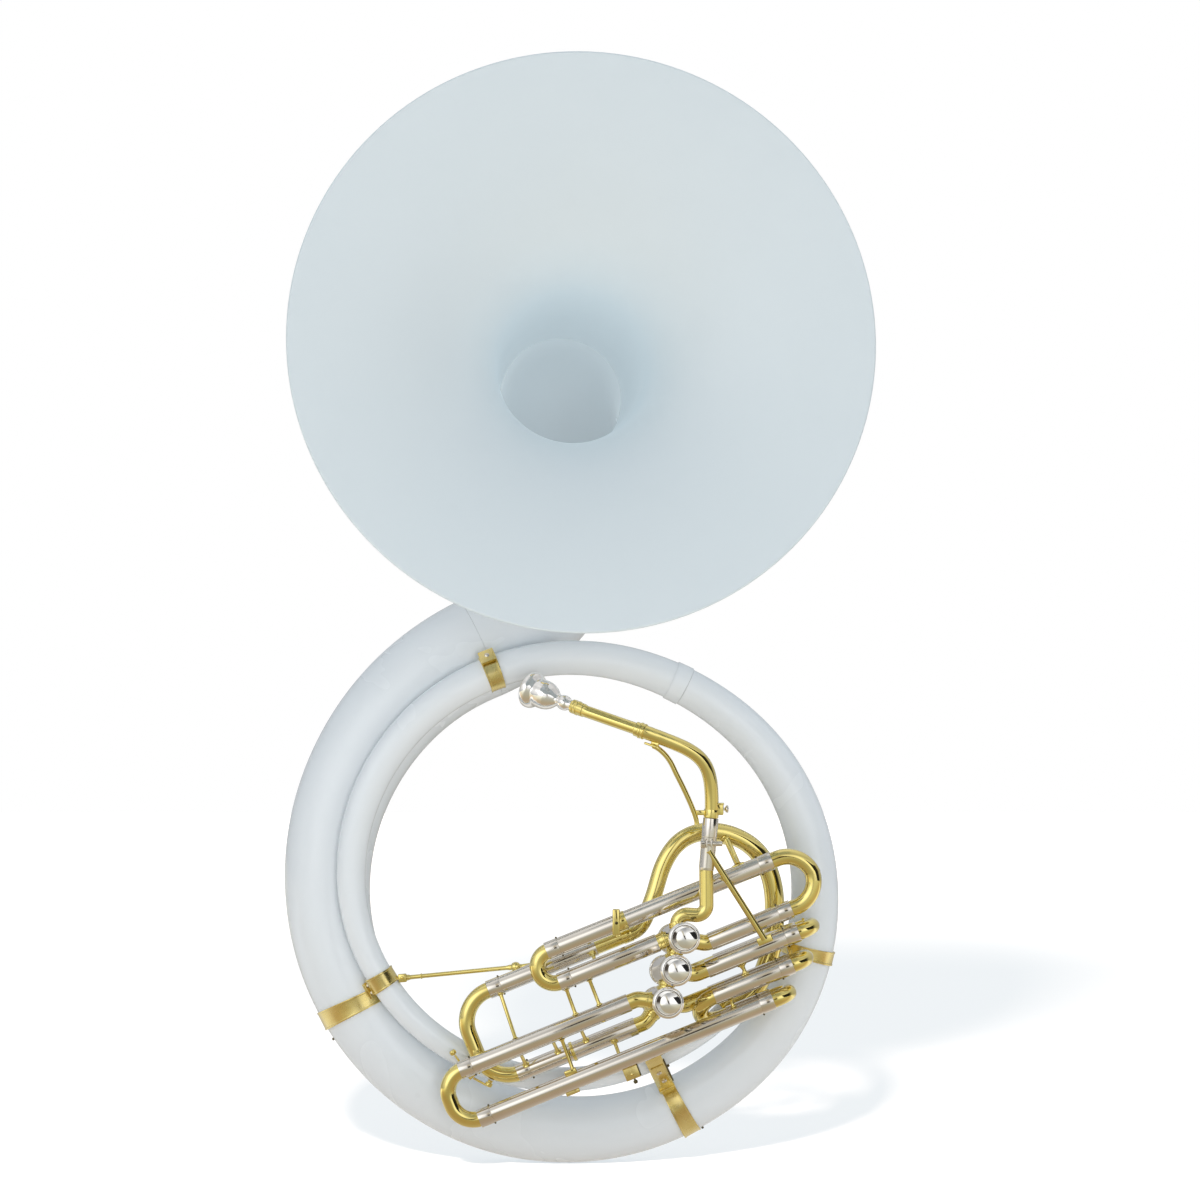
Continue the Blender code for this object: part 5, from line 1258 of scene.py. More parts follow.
# Name, seam, row, layer, way in along the slides, length, and the node it stands for
SLEEVES = (
    ("first_left_outer", FIRST_LEFT_SEAM, FIRST_LEFT_ROW, FRONT, 1.0, 0.126, "first_left_port_tube"),
    ("first_right_outer", FIRST_RIGHT_SEAM, FIRST_RIGHT_ROW, FRONT, -1.0, 0.104, "first_right_port_tube"),
    ("second_front_outer", SECOND_SEAM, SECOND_ROW, FRONT, -1.0, 0.117, "second_front_tube"),
    ("second_back_outer", SECOND_SEAM, SECOND_ROW, BACK, -1.0, 0.105, "second_back_tube"),
    ("third_upper_outer", THIRD_LEFT_SEAM, THIRD_UPPER_ROW, FRONT, 1.0, 0.216, "third_upper_tube"),
    ("third_back_outer", THIRD_UPPER_SEAM, THIRD_RETURN_ROW, BACK, -1.0, 0.104, "third_back_tube"),
    ("third_turn_lower_outer", THIRD_LOWER_SEAM, THIRD_LOWER_ROW, BACK, -1.0, 0.0555, "third_return_tube"),
    ("third_turn_upper_outer", THIRD_UPPER_SEAM, THIRD_RETURN_ROW, FRONT, -1.0, 0.1000, None),
    ("main_lower_outer", MAIN_LOWER_SEAM, MAIN_LOWER_ROW, BACK, 1.0, 0.152, "main_lower_tube"),
    ("main_upper_outer", MAIN_UPPER_SEAM, MAIN_UPPER_ROW, BACK, 1.0, 0.138, "main_upper_tube"),
)
for name, seam, row, layer, way, length, node in SLEEVES:
    outer_tube(name, slide_point(seam, row, layer), ALONG * way, length, [node] if node else ())
# The tiny stops are painted nearly black as shade in the collar grooves
show("collar_stops", joined(*stops), "aged_brass")
print("outer tubes", len(SLEEVES) + 2)

# %% [markdown]
# The bows are brass, bent round a former, so their path is two straight runs and two quarter
# turns of one radius. Their inner legs, seen only when a slide is pulled, are nickel silver.

# %% Bows
MAIN_FAR = -0.2624
MAIN_BEND = 0.0355
MAIN_CROOK = 0.0400


def route(corners, bend, steps=14):
    """Points and directions along straight runs joined by round bends of one radius."""
    stations = [(corners[0], (corners[1] - corners[0]).normalized())]
    for before, corner, after in zip(corners, corners[1:], corners[2:]):
        into = (corner - before).normalized()
        out = (after - corner).normalized()
        turn = into.angle(out)
        axis = into.cross(out).normalized()
        start = corner - into * (bend * math.tan(turn / 2.0))
        centre = start + axis.cross(into) * bend
        count = max(4, round(steps * turn / (math.pi / 2.0)))
        for index in range(count + 1):
            spin = Matrix.Rotation(turn * index / count, 3, axis)
            point = centre + spin @ (start - centre)
            if (point - stations[-1][0]).length > 0.0004:
                stations.append((point, spin @ into))
    stations.append((corners[-1], (corners[-1] - corners[-2]).normalized()))
    return stations


def slide_bow(node, one, two, outward, far, bend, legs, extra=()):
    """A brass bow between two seams, with its two inner legs as a second piece."""
    sign = outward.dot(ALONG)
    seams = (slide_point(*one) + outward * SEAM_GAP, slide_point(*two) + outward * SEAM_GAP)
    reach = (sign * (far - one[0]) - SEAM_GAP, sign * (far - two[0]) - SEAM_GAP)
    corners = [seams[0], seams[0] + outward * reach[0], seams[1] + outward * reach[1], seams[1]]
    bent = tube(route(corners, bend, 20), TUBE_RADIUS, TUBE_WALL, 44)
    show(node + "_crook", joined(bent, *extra), "brass", node, [node])
    shapes = []
    for seam, leg in zip(seams, legs):
        section = softened([(0.0001, TUBE_RADIUS - TUBE_WALL), (0.0001, TUBE_RADIUS - 0.0001),
                            (leg, TUBE_RADIUS - 0.0001), (leg, TUBE_RADIUS - TUBE_WALL)], 0.0001)
        shapes.append(turned_ring(seam, -outward, section, FORWARD, 44))
    show(node + "_legs", joined(*shapes), "nickel_silver", node)


def pull_knob(a, b, layer):
    """A small ball on a neck, to pull a bow by."""
    spot = slide_point(a, b + TUBE_RADIUS - 0.0006, layer)
    profile = [(0.0, 0.0022), (0.0009, 0.0012), (0.0018, 0.0010), (0.0024, 0.0016), (0.0032, 0.0019),
               (0.0040, 0.0016), (0.0045, 0.0008)]
    return turned(spot, ACROSS, profile, ALONG, 20)


slide_bow("first_right_bow", (FIRST_RIGHT_SEAM, FIRST_UPPER_ROW, FRONT), (FIRST_RIGHT_SEAM, FIRST_RIGHT_ROW, FRONT),
          ALONG, 0.1880, 0.0326, (0.096, 0.096))
slide_bow("first_left_bow", (FIRST_LEFT_SEAM, FIRST_UPPER_ROW, FRONT), (FIRST_LEFT_SEAM, FIRST_LEFT_ROW, FRONT),
          -ALONG, -0.1565, 0.0195, (0.094, 0.094))
slide_bow("second_bow", (SECOND_SEAM, SECOND_ROW, FRONT), (SECOND_SEAM, SECOND_ROW, BACK),
          ALONG, 0.1640, 0.0150, (0.094, 0.094), [pull_knob(0.1570, SECOND_ROW, FRONT + 0.0040)])
slide_bow("third_left_bow", (THIRD_LEFT_SEAM, THIRD_UPPER_ROW, FRONT), (THIRD_LEFT_SEAM, THIRD_LOWER_ROW, FRONT),
          -ALONG, -0.3105, 0.0270, (0.130, 0.130))
slide_bow("third_lower_bow", (THIRD_LOWER_SEAM, THIRD_LOWER_ROW, FRONT), (THIRD_LOWER_SEAM, THIRD_LOWER_ROW, BACK),
          ALONG, 0.1090, 0.0165, (0.074, 0.049))
slide_bow("third_upper_bow", (THIRD_UPPER_SEAM, THIRD_RETURN_ROW, FRONT), (THIRD_UPPER_SEAM, THIRD_RETURN_ROW, BACK),
          ALONG, 0.1430, 0.0165, (0.082, 0.094))
print("bows", 6)

# %% [markdown]
# ## Valve geometry and the pipes into the valves
# The three valves lean a little up and outwards, so the player's hand meets them squarely. Every
# pipe that enters a valve is brass and ends in a small flange, where it is soldered to the
# casing.

# %% Valve geometry
VALVE_AXIS = Vector((0.0872, -0.992, 0.0895)).normalized()
VALVE_PITCH = 0.03905
VALVE_LINE = math.radians(54.0)
FIRST_VALVE_A = 0.0130
FIRST_VALVE_B = 0.0337
CASING_RADIUS = 0.0170
CASING_FRONT = -0.158
CASING_REAR = -0.033
KNUCKLE_DEPTH = -0.092
LEADPIPE_PORT = -0.130


def valve_point(number, y):
    """A point on a valve's axis at depth y."""
    step = (number - 1) * VALVE_PITCH
    a = FIRST_VALVE_A - step * math.cos(VALVE_LINE)
    b = FIRST_VALVE_B - step * math.sin(VALVE_LINE)
    return slide_point(a, b, FRONT) + VALVE_AXIS * ((y - FRONT) / VALVE_AXIS.y)


def into_valve(number, corner, stop):
    """The last point of a pipe that runs from a corner into a casing, square to the valve's axis."""
    inward = valve_point(number, corner.y - RING_CENTRE.y) - corner
    inward -= VALVE_AXIS * inward.dot(VALVE_AXIS)
    return corner + inward.normalized() * (inward.length - stop)


def flange(number, corner, radius=TUBE_RADIUS):
    """The ring where a pipe meets its casing."""
    spot = into_valve(number, corner, CASING_RADIUS - 0.0020)
    out = (corner - spot).normalized()
    profile = softened([(0.0, radius - 0.0005), (0.0, radius + 0.0016), (0.0030, radius + 0.0013),
                        (0.0034, radius + 0.0005), (0.0062, radius + 0.0004), (0.0066, radius - 0.0005)], 0.0003)
    return turned_ring(spot, out, profile, FORWARD, 44)


print("first valve at", [round(v, 4) for v in valve_point(1, CASING_FRONT)])

# %% Pipes into the valves
PORT_BEND = 0.0160
PIPE_STOP = 0.0150
# Name, valve, start along the row, row, layer, corner along the row
PORT_PIPES = (
    ("first_right_pipe", 1, FIRST_RIGHT_SEAM - 0.101, FIRST_RIGHT_ROW, FRONT, 0.0400),
    ("second_front_pipe", 2, SECOND_SEAM - 0.114, SECOND_ROW, FRONT, 0.0140),
    ("second_back_pipe", 2, SECOND_SEAM - 0.102, SECOND_ROW, BACK, 0.0100),
    ("third_upper_pipe", 3, THIRD_LEFT_SEAM + 0.213, THIRD_UPPER_ROW, FRONT, -0.0600),
    ("third_back_pipe", 3, THIRD_UPPER_SEAM - 0.101, THIRD_RETURN_ROW, BACK, -0.0120),
    ("main_lower_pipe", 3, MAIN_LOWER_SEAM + 0.149, MAIN_LOWER_ROW, BACK, -0.0620),
)
for name, number, begin, row, layer, corner_a in PORT_PIPES:
    corner = slide_point(corner_a, row, layer)
    corners = [slide_point(begin, row, layer), corner, into_valve(number, corner, PIPE_STOP)]
    pipe = tube(route(corners, PORT_BEND), TUBE_RADIUS, TUBE_WALL, 44)
    show(name, joined(pipe, flange(number, corner)), "brass")

left_start = slide_point(FIRST_LEFT_SEAM + 0.123, FIRST_LEFT_ROW, FRONT)
left_end = slide_point(0.0005, FIRST_LEFT_ROW, FRONT)
left_pipe = tube([(left_start, ALONG), (left_end, ALONG)], TUBE_RADIUS, TUBE_WALL, 44)
left_ring = softened([(0.0, TUBE_RADIUS - 0.0005), (0.0, TUBE_RADIUS + 0.0016), (0.0030, TUBE_RADIUS + 0.0016),
                      (0.0034, TUBE_RADIUS + 0.0004), (0.0075, TUBE_RADIUS + 0.0004), (0.0079, TUBE_RADIUS - 0.0005)],
                     0.0003)
show("first_left_pipe", joined(left_pipe, turned_ring(slide_point(-0.0020, FIRST_LEFT_ROW, FRONT), -ALONG,
                                                      left_ring, FORWARD, 44)), "brass")

turn_back = [slide_point(THIRD_LOWER_SEAM - 0.0525, THIRD_LOWER_ROW, BACK),
             slide_point(0.0025, THIRD_LOWER_ROW, BACK), slide_point(0.0025, THIRD_RETURN_ROW, FRONT),
             slide_point(THIRD_UPPER_SEAM - 0.0970, THIRD_RETURN_ROW, FRONT)]
show("third_return_pipe", tube(route(turn_back, 0.0227, 20), TUBE_RADIUS, TUBE_WALL, 44), "brass")
print("pipes", len(PORT_PIPES) + 2)

# %% [markdown]
# The arch takes the air from the main slide over the top and down into the thin branch. It is
# slightly conical and its path was bent by eye, so a smooth curve through a few known points
# draws it better than arcs would.

# %% Arch
ARCH_SPINE = (
    (0.0950, -0.0730, -0.0240), (0.1090, -0.0710, 0.0080), (0.1200, -0.0680, 0.0430), (0.1330, -0.0650, 0.0660),
    (0.1500, -0.0620, 0.0800), (0.1720, -0.0600, 0.0860), (0.1990, -0.0570, 0.0830), (0.2250, -0.0540, 0.0700),
    (0.2430, -0.0510, 0.0490), (0.2530, -0.0490, 0.0200), (0.2550, -0.0470, -0.0150), (0.2510, -0.0450, -0.0560),
    (0.2380, -0.0440, -0.0930), (0.2210, -0.0435, -0.1150),
)


def smooth_stations(points, first, last, steps):
    """A smooth curve through points, with given directions at its two ends."""
    slopes = [(points[i + 1] - points[i - 1]) / 2.0 for i in range(1, len(points) - 1)]
    slopes = [first * (points[1] - points[0]).length] + slopes + [last * (points[-1] - points[-2]).length]
    stations = []
    for index in range(len(points) - 1):
        start, end = points[index], points[index + 1]
        count = steps + 1 if index == len(points) - 2 else steps
        for step in range(count):
            t = step / steps
            point = start * (2 * t**3 - 3 * t**2 + 1) + slopes[index] * (t**3 - 2 * t**2 + t)
            point += end * (3 * t**2 - 2 * t**3) + slopes[index + 1] * (t**3 - t**2)
            along = (start - end) * (6 * t**2 - 6 * t) + slopes[index] * (3 * t**2 - 4 * t + 1)
            along += slopes[index + 1] * (3 * t**2 - 2 * t)
            stations.append((point, along.normalized()))
    return stations


arch_start = slide_point(MAIN_UPPER_SEAM + 0.135, MAIN_UPPER_ROW, BACK)
arch_joint = slide_point(ARCH_SEAM, MAIN_UPPER_ROW, BACK)
arch_end = coil_point(COIL_END) + coil_direction(COIL_END) * SEAM_GAP
arch_points = [arch_joint] + [ring_point(*spot) for spot in ARCH_SPINE] + [arch_end]
arch_path = smooth_stations(arch_points, ALONG, -coil_direction(COIL_END), 7)
arch_radii = [TUBE_RADIUS + 0.0030 * index / (len(arch_path) - 1) for index in range(len(arch_path))]
ferrule = softened([(0.0, 0.0120), (0.0, 0.0139), (0.0160, 0.0139), (0.0165, 0.0120)], 0.0004)
show("arch_bent", joined(tube(arch_path, arch_radii, 0.0009, 44),
                         turned_ring(arch_end, -coil_direction(COIL_END) * -1.0, ferrule, FORWARD, 44)),
     "brass", nodes=["arch_pipe"])
link = tube([(arch_start, ALONG), (arch_joint, ALONG)], TUBE_RADIUS, TUBE_WALL, 44)
joint_ring = softened([(-0.0060, TUBE_RADIUS - 0.0004), (-0.0060, TUBE_RADIUS + 0.0008),
                       (0.0060, TUBE_RADIUS + 0.0008), (0.0060, TUBE_RADIUS - 0.0004)], 0.0003)
show("main_upper_pipe", joined(link, turned_ring(arch_joint, ALONG, joint_ring, FORWARD, 44)), "brass")
print("arch stations", len(arch_path))

# %% [markdown]
# ## Valves
# A casing is a nickel silver tube with a cap screwed on each end. The top cap is silver plated,
# a broad rounded ring with a shallow recess, and above it sits the finger button, a polished
# dish. The bottom cap is knurled so that fingers can undo it.

# %% Casings, caps and buttons
CAP_RADIUS = 0.0186
BUTTON_FRONT = -0.190
BUTTON_THICKNESS = 0.0045
DOME_RADIUS = 0.029

casing_length = (valve_point(1, CASING_REAR) - valve_point(1, CASING_FRONT)).length
for number in (1, 2, 3):
    front = valve_point(number, CASING_FRONT)
    rear = valve_point(number, CASING_REAR)
    back = -VALVE_AXIS
    wall = softened([(0.0, 0.0138), (0.0, CASING_RADIUS), (0.0070, CASING_RADIUS), (0.0076, CASING_RADIUS + 0.0004),
                     (0.0094, CASING_RADIUS + 0.0004), (0.0100, CASING_RADIUS - 0.0001),
                     (casing_length - 0.0120, CASING_RADIUS - 0.0001), (casing_length - 0.0114, CASING_RADIUS + 0.0004),
                     (casing_length - 0.0096, CASING_RADIUS + 0.0004), (casing_length - 0.0090, CASING_RADIUS),
                     (casing_length, CASING_RADIUS), (casing_length, 0.0138)], 0.0002)
    show("valve_casing_%d_turned" % number, turned_ring(front, back, wall, ALONG, 64), "nickel_silver",
         nodes=["valve_casing_%d" % number])
    cap = softened([(0.0050, CASING_RADIUS + 0.0002), (0.0050, CAP_RADIUS - 0.0002), (0.0000, CAP_RADIUS - 0.0002),
                    (-0.0012, CAP_RADIUS), (-0.0040, CAP_RADIUS), (-0.0060, CAP_RADIUS - 0.0022),
                    (-0.0060, 0.0150), (-0.0052, 0.0141), (0.0020, 0.0141), (0.0020, 0.0078),
                    (-0.0052, 0.0070), (-0.0052, 0.0048), (-0.0003, 0.0048), (-0.0003, CASING_RADIUS + 0.0002)],
                   0.0007)
    show("top_cap_%d_turned" % number, turned_ring(front, back, cap, ALONG, 96), "silver_plate",
         nodes=["top_cap_%d" % number])
    foot = softened([(-0.0070, CASING_RADIUS + 0.0002), (-0.0070, CAP_RADIUS - 0.0006), (-0.0058, CAP_RADIUS - 0.0004),
                     (0.0040, CAP_RADIUS - 0.0004), (0.0052, CAP_RADIUS - 0.0020), (0.0065, 0.0120),
                     (0.0065, 0.0030), (0.0020, 0.0030), (0.0003, 0.0110), (0.0003, CASING_RADIUS + 0.0002)], 0.0004)
    foot_bm = knurled(turned_ring(rear, back, foot, ALONG, 84), back, rear, -0.0056, 0.0038, CAP_RADIUS)
    show("bottom_cap_%d_turned" % number, foot_bm, "silver_plate", nodes=["bottom_cap_%d" % number])
    under = valve_point(number, BUTTON_FRONT + BUTTON_THICKNESS)
    button = [(0.0, 0.0040), (0.0003, 0.0085), (0.0010, 0.0118), (0.0018, 0.0124), (0.0026, 0.0124),
              (0.0032, 0.0120)]
    for radius in (0.0112, 0.0104, 0.0094, 0.0082, 0.0069, 0.0055, 0.0040, 0.0025, 0.0012):
        sag = DOME_RADIUS - math.sqrt(DOME_RADIUS**2 - radius**2)
        button.append((0.0057 - sag, radius))
    show("finger_button_%d_domed" % number, turned(under, VALVE_AXIS, button, ALONG, 72), "silver_plate",
         "valve_%d" % number, ["finger_button_%d" % number], sharp=60.0)
print("valves", 3, "casing", round(casing_length, 4))

# %% [markdown]
# The knuckles are the short tubes between neighbouring valves. Each has a ring at both ends
# where it is soldered in.

# %% Knuckles
for number in (1, 2):
    start = valve_point(number, KNUCKLE_DEPTH)
    end = valve_point(number + 1, KNUCKLE_DEPTH)
    along = (end - start).normalized()
    length = (end - start).length
    bare = TUBE_RADIUS - 0.0003
    section = softened([(0.0145, TUBE_RADIUS - TUBE_WALL), (0.0145, bare + 0.0016), (0.0178, bare + 0.0014),
                        (0.0182, bare), (length - 0.0182, bare), (length - 0.0178, bare + 0.0014),
                        (length - 0.0145, bare + 0.0016), (length - 0.0145, TUBE_RADIUS - TUBE_WALL)], 0.0003)
    show("valve_knuckle_%d_turned" % number, turned_ring(start, along, section, VALVE_AXIS, 44), "brass",
         nodes=["valve_knuckle_%d" % number])
print("knuckle gap", round(length - 2.0 * CASING_RADIUS, 4))

# %% [markdown]
# ## Leadpipe, neck and mouthpiece
# The neck drops into a nickel silver receiver and a clamp screw holds it. Below the receiver the
# brass leadpipe winds down into the first valve.

# %% Receiver and leadpipe
RECEIVER_TOP = ring_point(0.1765, -0.131, 0.1060)
RECEIVER_FOOT = ring_point(0.1712, -0.131, 0.0450)
RECEIVER_RADIUS = 0.0093
LEADPIPE_RADIUS = 0.0084

down = (RECEIVER_FOOT - RECEIVER_TOP).normalized()
receiver_length = (RECEIVER_FOOT - RECEIVER_TOP).length
receiver = softened([(0.0, 0.0070), (0.0, RECEIVER_RADIUS), (0.0220, RECEIVER_RADIUS), (0.0224, RECEIVER_RADIUS - 0.0003),
                     (receiver_length - 0.0030, RECEIVER_RADIUS - 0.0003), (receiver_length, RECEIVER_RADIUS - 0.0006),
                     (receiver_length, 0.0062), (0.0300, 0.0062), (0.0298, 0.0070)], 0.0003)
show("receiver_turned", turned_ring(RECEIVER_TOP, down, receiver, FORWARD, 56), "nickel_silver", nodes=["leadpipe"])
into = valve_point(1, LEADPIPE_PORT)
entry = into + Vector((-0.0095, 0.0, 0.0262))
leadpipe_corners = [RECEIVER_FOOT - down * 0.004, RECEIVER_FOOT + down * 0.001, ring_point(0.1715, -0.131, -0.0090),
                    entry + Vector((-0.0010, 0.0, 0.0030)), into + (entry - into).normalized() * 0.0125]
leadpipe = tube(route(leadpipe_corners, 0.0118, 16), LEADPIPE_RADIUS, 0.0018, 44)
show("leadpipe_bent", joined(leadpipe, flange(1, entry, 0.0080)), "brass")
print("receiver", round(receiver_length, 4), "m")

# %% Clamp
CLAMP_HEIGHT = 0.0768
CLAMP_DEPTH = -0.0145
share = (RECEIVER_TOP.z - RING_CENTRE.z - CLAMP_HEIGHT) / (RECEIVER_TOP.z - RECEIVER_FOOT.z)
clamp_spot = RECEIVER_TOP.lerp(RECEIVER_FOOT, share) + Vector((0.0, CLAMP_DEPTH, 0.0))
ears = joined(*[block(clamp_spot + Vector((offset, 0.0013, 0.0)), (RIGHT, -FORWARD, UP), (0.0022, 0.0106, 0.0084), 0.0006)
                for offset in (-0.0028, 0.0028)])
show("clamp_ears", ears, "nickel_silver")
clamp_profile = softened([(-0.0100, 0.0040), (-0.0092, 0.0054), (-0.0050, 0.0054), (-0.0043, 0.0046),
                          (-0.0043, 0.0019), (0.0043, 0.0019), (0.0043, 0.0030), (0.0150, 0.0030), (0.0158, 0.0022)],
                         0.0003, closed=False)
clamp = knurled(turned(clamp_spot, RIGHT, clamp_profile, UP, 30), RIGHT, clamp_spot, -0.0091, -0.0051, 0.0054)
show("neck_clamp_screw_turned", clamp, "nickel_silver", "neck_clamp_screw", ["neck_clamp_screw"])
print("clamp at", [round(v, 4) for v in clamp_spot])

# %% [markdown]
# The neck is a bent brass tube with a slim brace across its bend and a socket for a music lyre
# at the back. The bit that follows has a collar at each end.

# %% Neck and bit
NECK_TIP = ring_point(0.0930, -0.1460, 0.2101)
BIT_BEND = ring_point(0.0296, -0.1230, 0.2315)
BIT_END = ring_point(0.0140, -0.1120, 0.2374)
NECK_RADIUS = 0.0082
NECK_SPINE = (
    (0.1775, -0.1318, 0.1180), (0.1772, -0.1335, 0.1360), (0.1752, -0.1360, 0.1530), (0.1705, -0.1390, 0.1672),
    (0.1618, -0.1415, 0.1785), (0.1490, -0.1437, 0.1875), (0.1340, -0.1450, 0.1945), (0.1150, -0.1458, 0.2020),
)
BRACE_SPINE = (
    (0.1083, -0.1475, 0.1917), (0.1192, -0.1465, 0.1845), (0.1281, -0.1445, 0.1737), (0.1353, -0.1425, 0.1593),
    (0.1443, -0.1395, 0.1413), (0.1525, -0.1365, 0.1233), (0.1579, -0.1345, 0.1090), (0.1600, -0.1335, 0.0985),
)

along = (BIT_BEND - NECK_TIP).normalized()
neck_points = [RECEIVER_TOP - down * 0.0008] + [ring_point(*spot) for spot in NECK_SPINE] + [NECK_TIP]
neck_tube = tube(smooth_stations(neck_points, -down, along, 7), NECK_RADIUS, 0.0028, 44)
tenon = turned_ring(RECEIVER_TOP - down * 0.0004, down, softened([(-0.010, 0.0054), (-0.010, 0.0089), (-0.0002, 0.0089),
                    (-0.0001, 0.0066), (0.0256, 0.0064), (0.0256, 0.0052)], 0.0003), FORWARD, 44)
tip_ring = turned_ring(NECK_TIP, -along, softened([(0.0, 0.0056), (0.0, 0.0096), (0.0022, 0.0096), (0.0026, 0.0089),
                       (0.0042, 0.0089), (0.0046, 0.0094), (0.0062, 0.0094), (0.0070, 0.0082), (0.0070, 0.0056)],
                       0.0003), FORWARD, 44)
brace_points = [ring_point(*spot) for spot in BRACE_SPINE]
brace_path = smooth_stations(brace_points, -along, -UP, 7)
brace_rod = tube(brace_path, 0.0030, 0.0024, 24)
foot_axes = (along, along.cross(FORWARD).normalized(), along.cross(along.cross(FORWARD)).normalized())
brace_foot = joined(block(brace_points[0] + along * 0.0030, foot_axes, (0.0160, 0.0028, 0.0060), 0.0011),
                    block(ring_point(0.1110, -0.1470, 0.1952), foot_axes, (0.0100, 0.0060, 0.0036), 0.0010),
                    block(ring_point(0.1640, -0.1325, 0.1125), (RIGHT, FORWARD, UP), (0.0110, 0.0030, 0.0060), 0.0009))
LYRE_HEIGHT = 0.1168
socket = ring_point(0.1858, -0.131, LYRE_HEIGHT)
holder = block(socket, (RIGHT, -FORWARD, UP), (0.0110, 0.0100, 0.0140), 0.0012)
lip = block(socket + RIGHT * 0.0012 + UP * 0.0060, (RIGHT, -FORWARD, UP), (0.0098, 0.0116, 0.0024), 0.0008)
show("neck_bent", joined(neck_tube, tenon, tip_ring, brace_rod, brace_foot, holder, lip), "brass", "neck", ["neck"])
lyre_face = socket + RIGHT * 0.0058
lyre_profile = softened([(0.0, 0.0018), (0.0016, 0.0018), (0.0020, 0.0026), (0.0030, 0.0040), (0.0042, 0.0046),
                         (0.0056, 0.0034)], 0.0003, closed=False)
show("lyre_screw_turned", turned(lyre_face, RIGHT, lyre_profile, UP, 24), "nickel_silver", "lyre_screw", ["lyre_screw"])

bit_path = route([NECK_TIP + along * SEAM_GAP, BIT_BEND, BIT_END], 0.030, 24)
bit_tube = tube(bit_path, 0.0071, 0.0023, 44)
towards_lips = (BIT_END - BIT_BEND).normalized()
bit_foot = turned_ring(NECK_TIP + along * SEAM_GAP, along, softened([(0.0, 0.0050), (0.0, 0.0086), (0.0052, 0.0086),
                       (0.0060, 0.0072), (0.0060, 0.0050)], 0.0004), FORWARD, 44)
bit_head = turned_ring(BIT_END, -towards_lips, softened([(0.0, 0.0063), (0.0, 0.0083), (0.0036, 0.0085), (0.0042, 0.0080),
                       (0.0062, 0.0080), (0.0068, 0.0086), (0.0090, 0.0086), (0.0096, 0.0080), (0.0170, 0.0079),
                       (0.0182, 0.0071), (0.0182, 0.0063)], 0.0003), FORWARD, 44)
show("tuning_bit_bent", joined(bit_tube, bit_foot, bit_head), "brass", "tuning_bit", ["tuning_bit"])
print("neck stations", len(bit_path))

# %% [markdown]
# The mouthpiece is turned from one bar and silver plated: a wide rounded rim, a deep cup, a
# narrow throat, and a tapered shank with a beaded collar.

# %% Mouthpiece
MOUTHPIECE_PROFILE = (
    (-0.0160, 0.0048), (0.0000, 0.0058), (0.0040, 0.0062), (0.0066, 0.0068), (0.0082, 0.0080), (0.0105, 0.0088),
    (0.0140, 0.0090), (0.0172, 0.0085), (0.0192, 0.0073), (0.0215, 0.0068), (0.0240, 0.0078), (0.0270, 0.0102),
    (0.0310, 0.0134), (0.0360, 0.0159), (0.0415, 0.0171), (0.0470, 0.0173), (0.0512, 0.0169), (0.0532, 0.0171),
    (0.0552, 0.0188), (0.0575, 0.0208), (0.0600, 0.0218), (0.0630, 0.0220), (0.0655, 0.0215), (0.0668, 0.0203),
    (0.0670, 0.0190), (0.0662, 0.0174), (0.0640, 0.0160), (0.0595, 0.0152), (0.0520, 0.0144), (0.0440, 0.0124),
    (0.0370, 0.0086), (0.0330, 0.0050), (0.0300, 0.0032), (0.0260, 0.0030), (-0.0160, 0.0036),
)
show("mouthpiece_turned", turned_ring(BIT_END, towards_lips, softened(MOUTHPIECE_PROFILE, 0.0012), FORWARD, 96),
     "silver_plate", "mouthpiece", ["mouthpiece"], sharp=60.0)
print("mouthpiece points", len(MOUTHPIECE_PROFILE))

# %% [markdown]
# ## Braces
# Rods soldered between the tubes keep the slides parallel. Each has a flared foot at both ends
# that spreads the load on the thin tube wall.

# %% Braces between the slides
BRACE_RADIUS = 0.0022
STAY_RADIUS = 0.0038
# Start and end of each brace: along, row, layer
BRACES = (
    ((-0.2092, MAIN_UPPER_ROW, BACK), (-0.2120, THIRD_UPPER_ROW, FRONT)),
    ((-0.1332, FIRST_LEFT_ROW, FRONT), (-0.1350, THIRD_UPPER_ROW, FRONT)),
    ((-0.1040, FIRST_LEFT_ROW, FRONT), (-0.1045, THIRD_UPPER_ROW, FRONT)),
    ((-0.2130, THIRD_UPPER_ROW, FRONT), (-0.2130, MAIN_LOWER_ROW, BACK)),
    ((-0.1720, THIRD_UPPER_ROW, FRONT), (-0.1720, MAIN_LOWER_ROW, BACK)),
    ((-0.1360, THIRD_UPPER_ROW, FRONT), (-0.1360, MAIN_LOWER_ROW, BACK)),
    ((-0.1605, THIRD_UPPER_ROW, FRONT), (-0.1625, THIRD_LOWER_ROW, FRONT)),
    ((-0.1050, MAIN_LOWER_ROW, BACK), (-0.1050, THIRD_LOWER_ROW, FRONT)),
    ((-0.0520, FIRST_UPPER_ROW, FRONT), (-0.0540, MAIN_UPPER_ROW, BACK)),
    ((-0.0900, MAIN_UPPER_ROW, BACK), (-0.0900, FIRST_LEFT_ROW, FRONT)),
    ((0.0700, SECOND_ROW, FRONT), (0.0700, THIRD_RETURN_ROW, FRONT)),
    ((0.0420, THIRD_RETURN_ROW, FRONT), (0.0420, THIRD_LOWER_ROW, FRONT)),
)


def rod_with_feet(start, end, radius, sink=0.0104):
    """A rod between two tube axes with flared feet on the two tubes' surfaces."""
    way = (end - start).normalized()
    length = (end - start).length
    profile = [(sink, radius * 2.0), (sink + 0.0008, radius * 1.9), (sink + 0.0016, radius * 1.25),
               (sink + 0.0030, radius), (length - sink - 0.0030, radius), (length - sink - 0.0016, radius * 1.25),
               (length - sink - 0.0008, radius * 1.9), (length - sink, radius * 2.0)]
    return turned(start, way, profile, UP, 24)


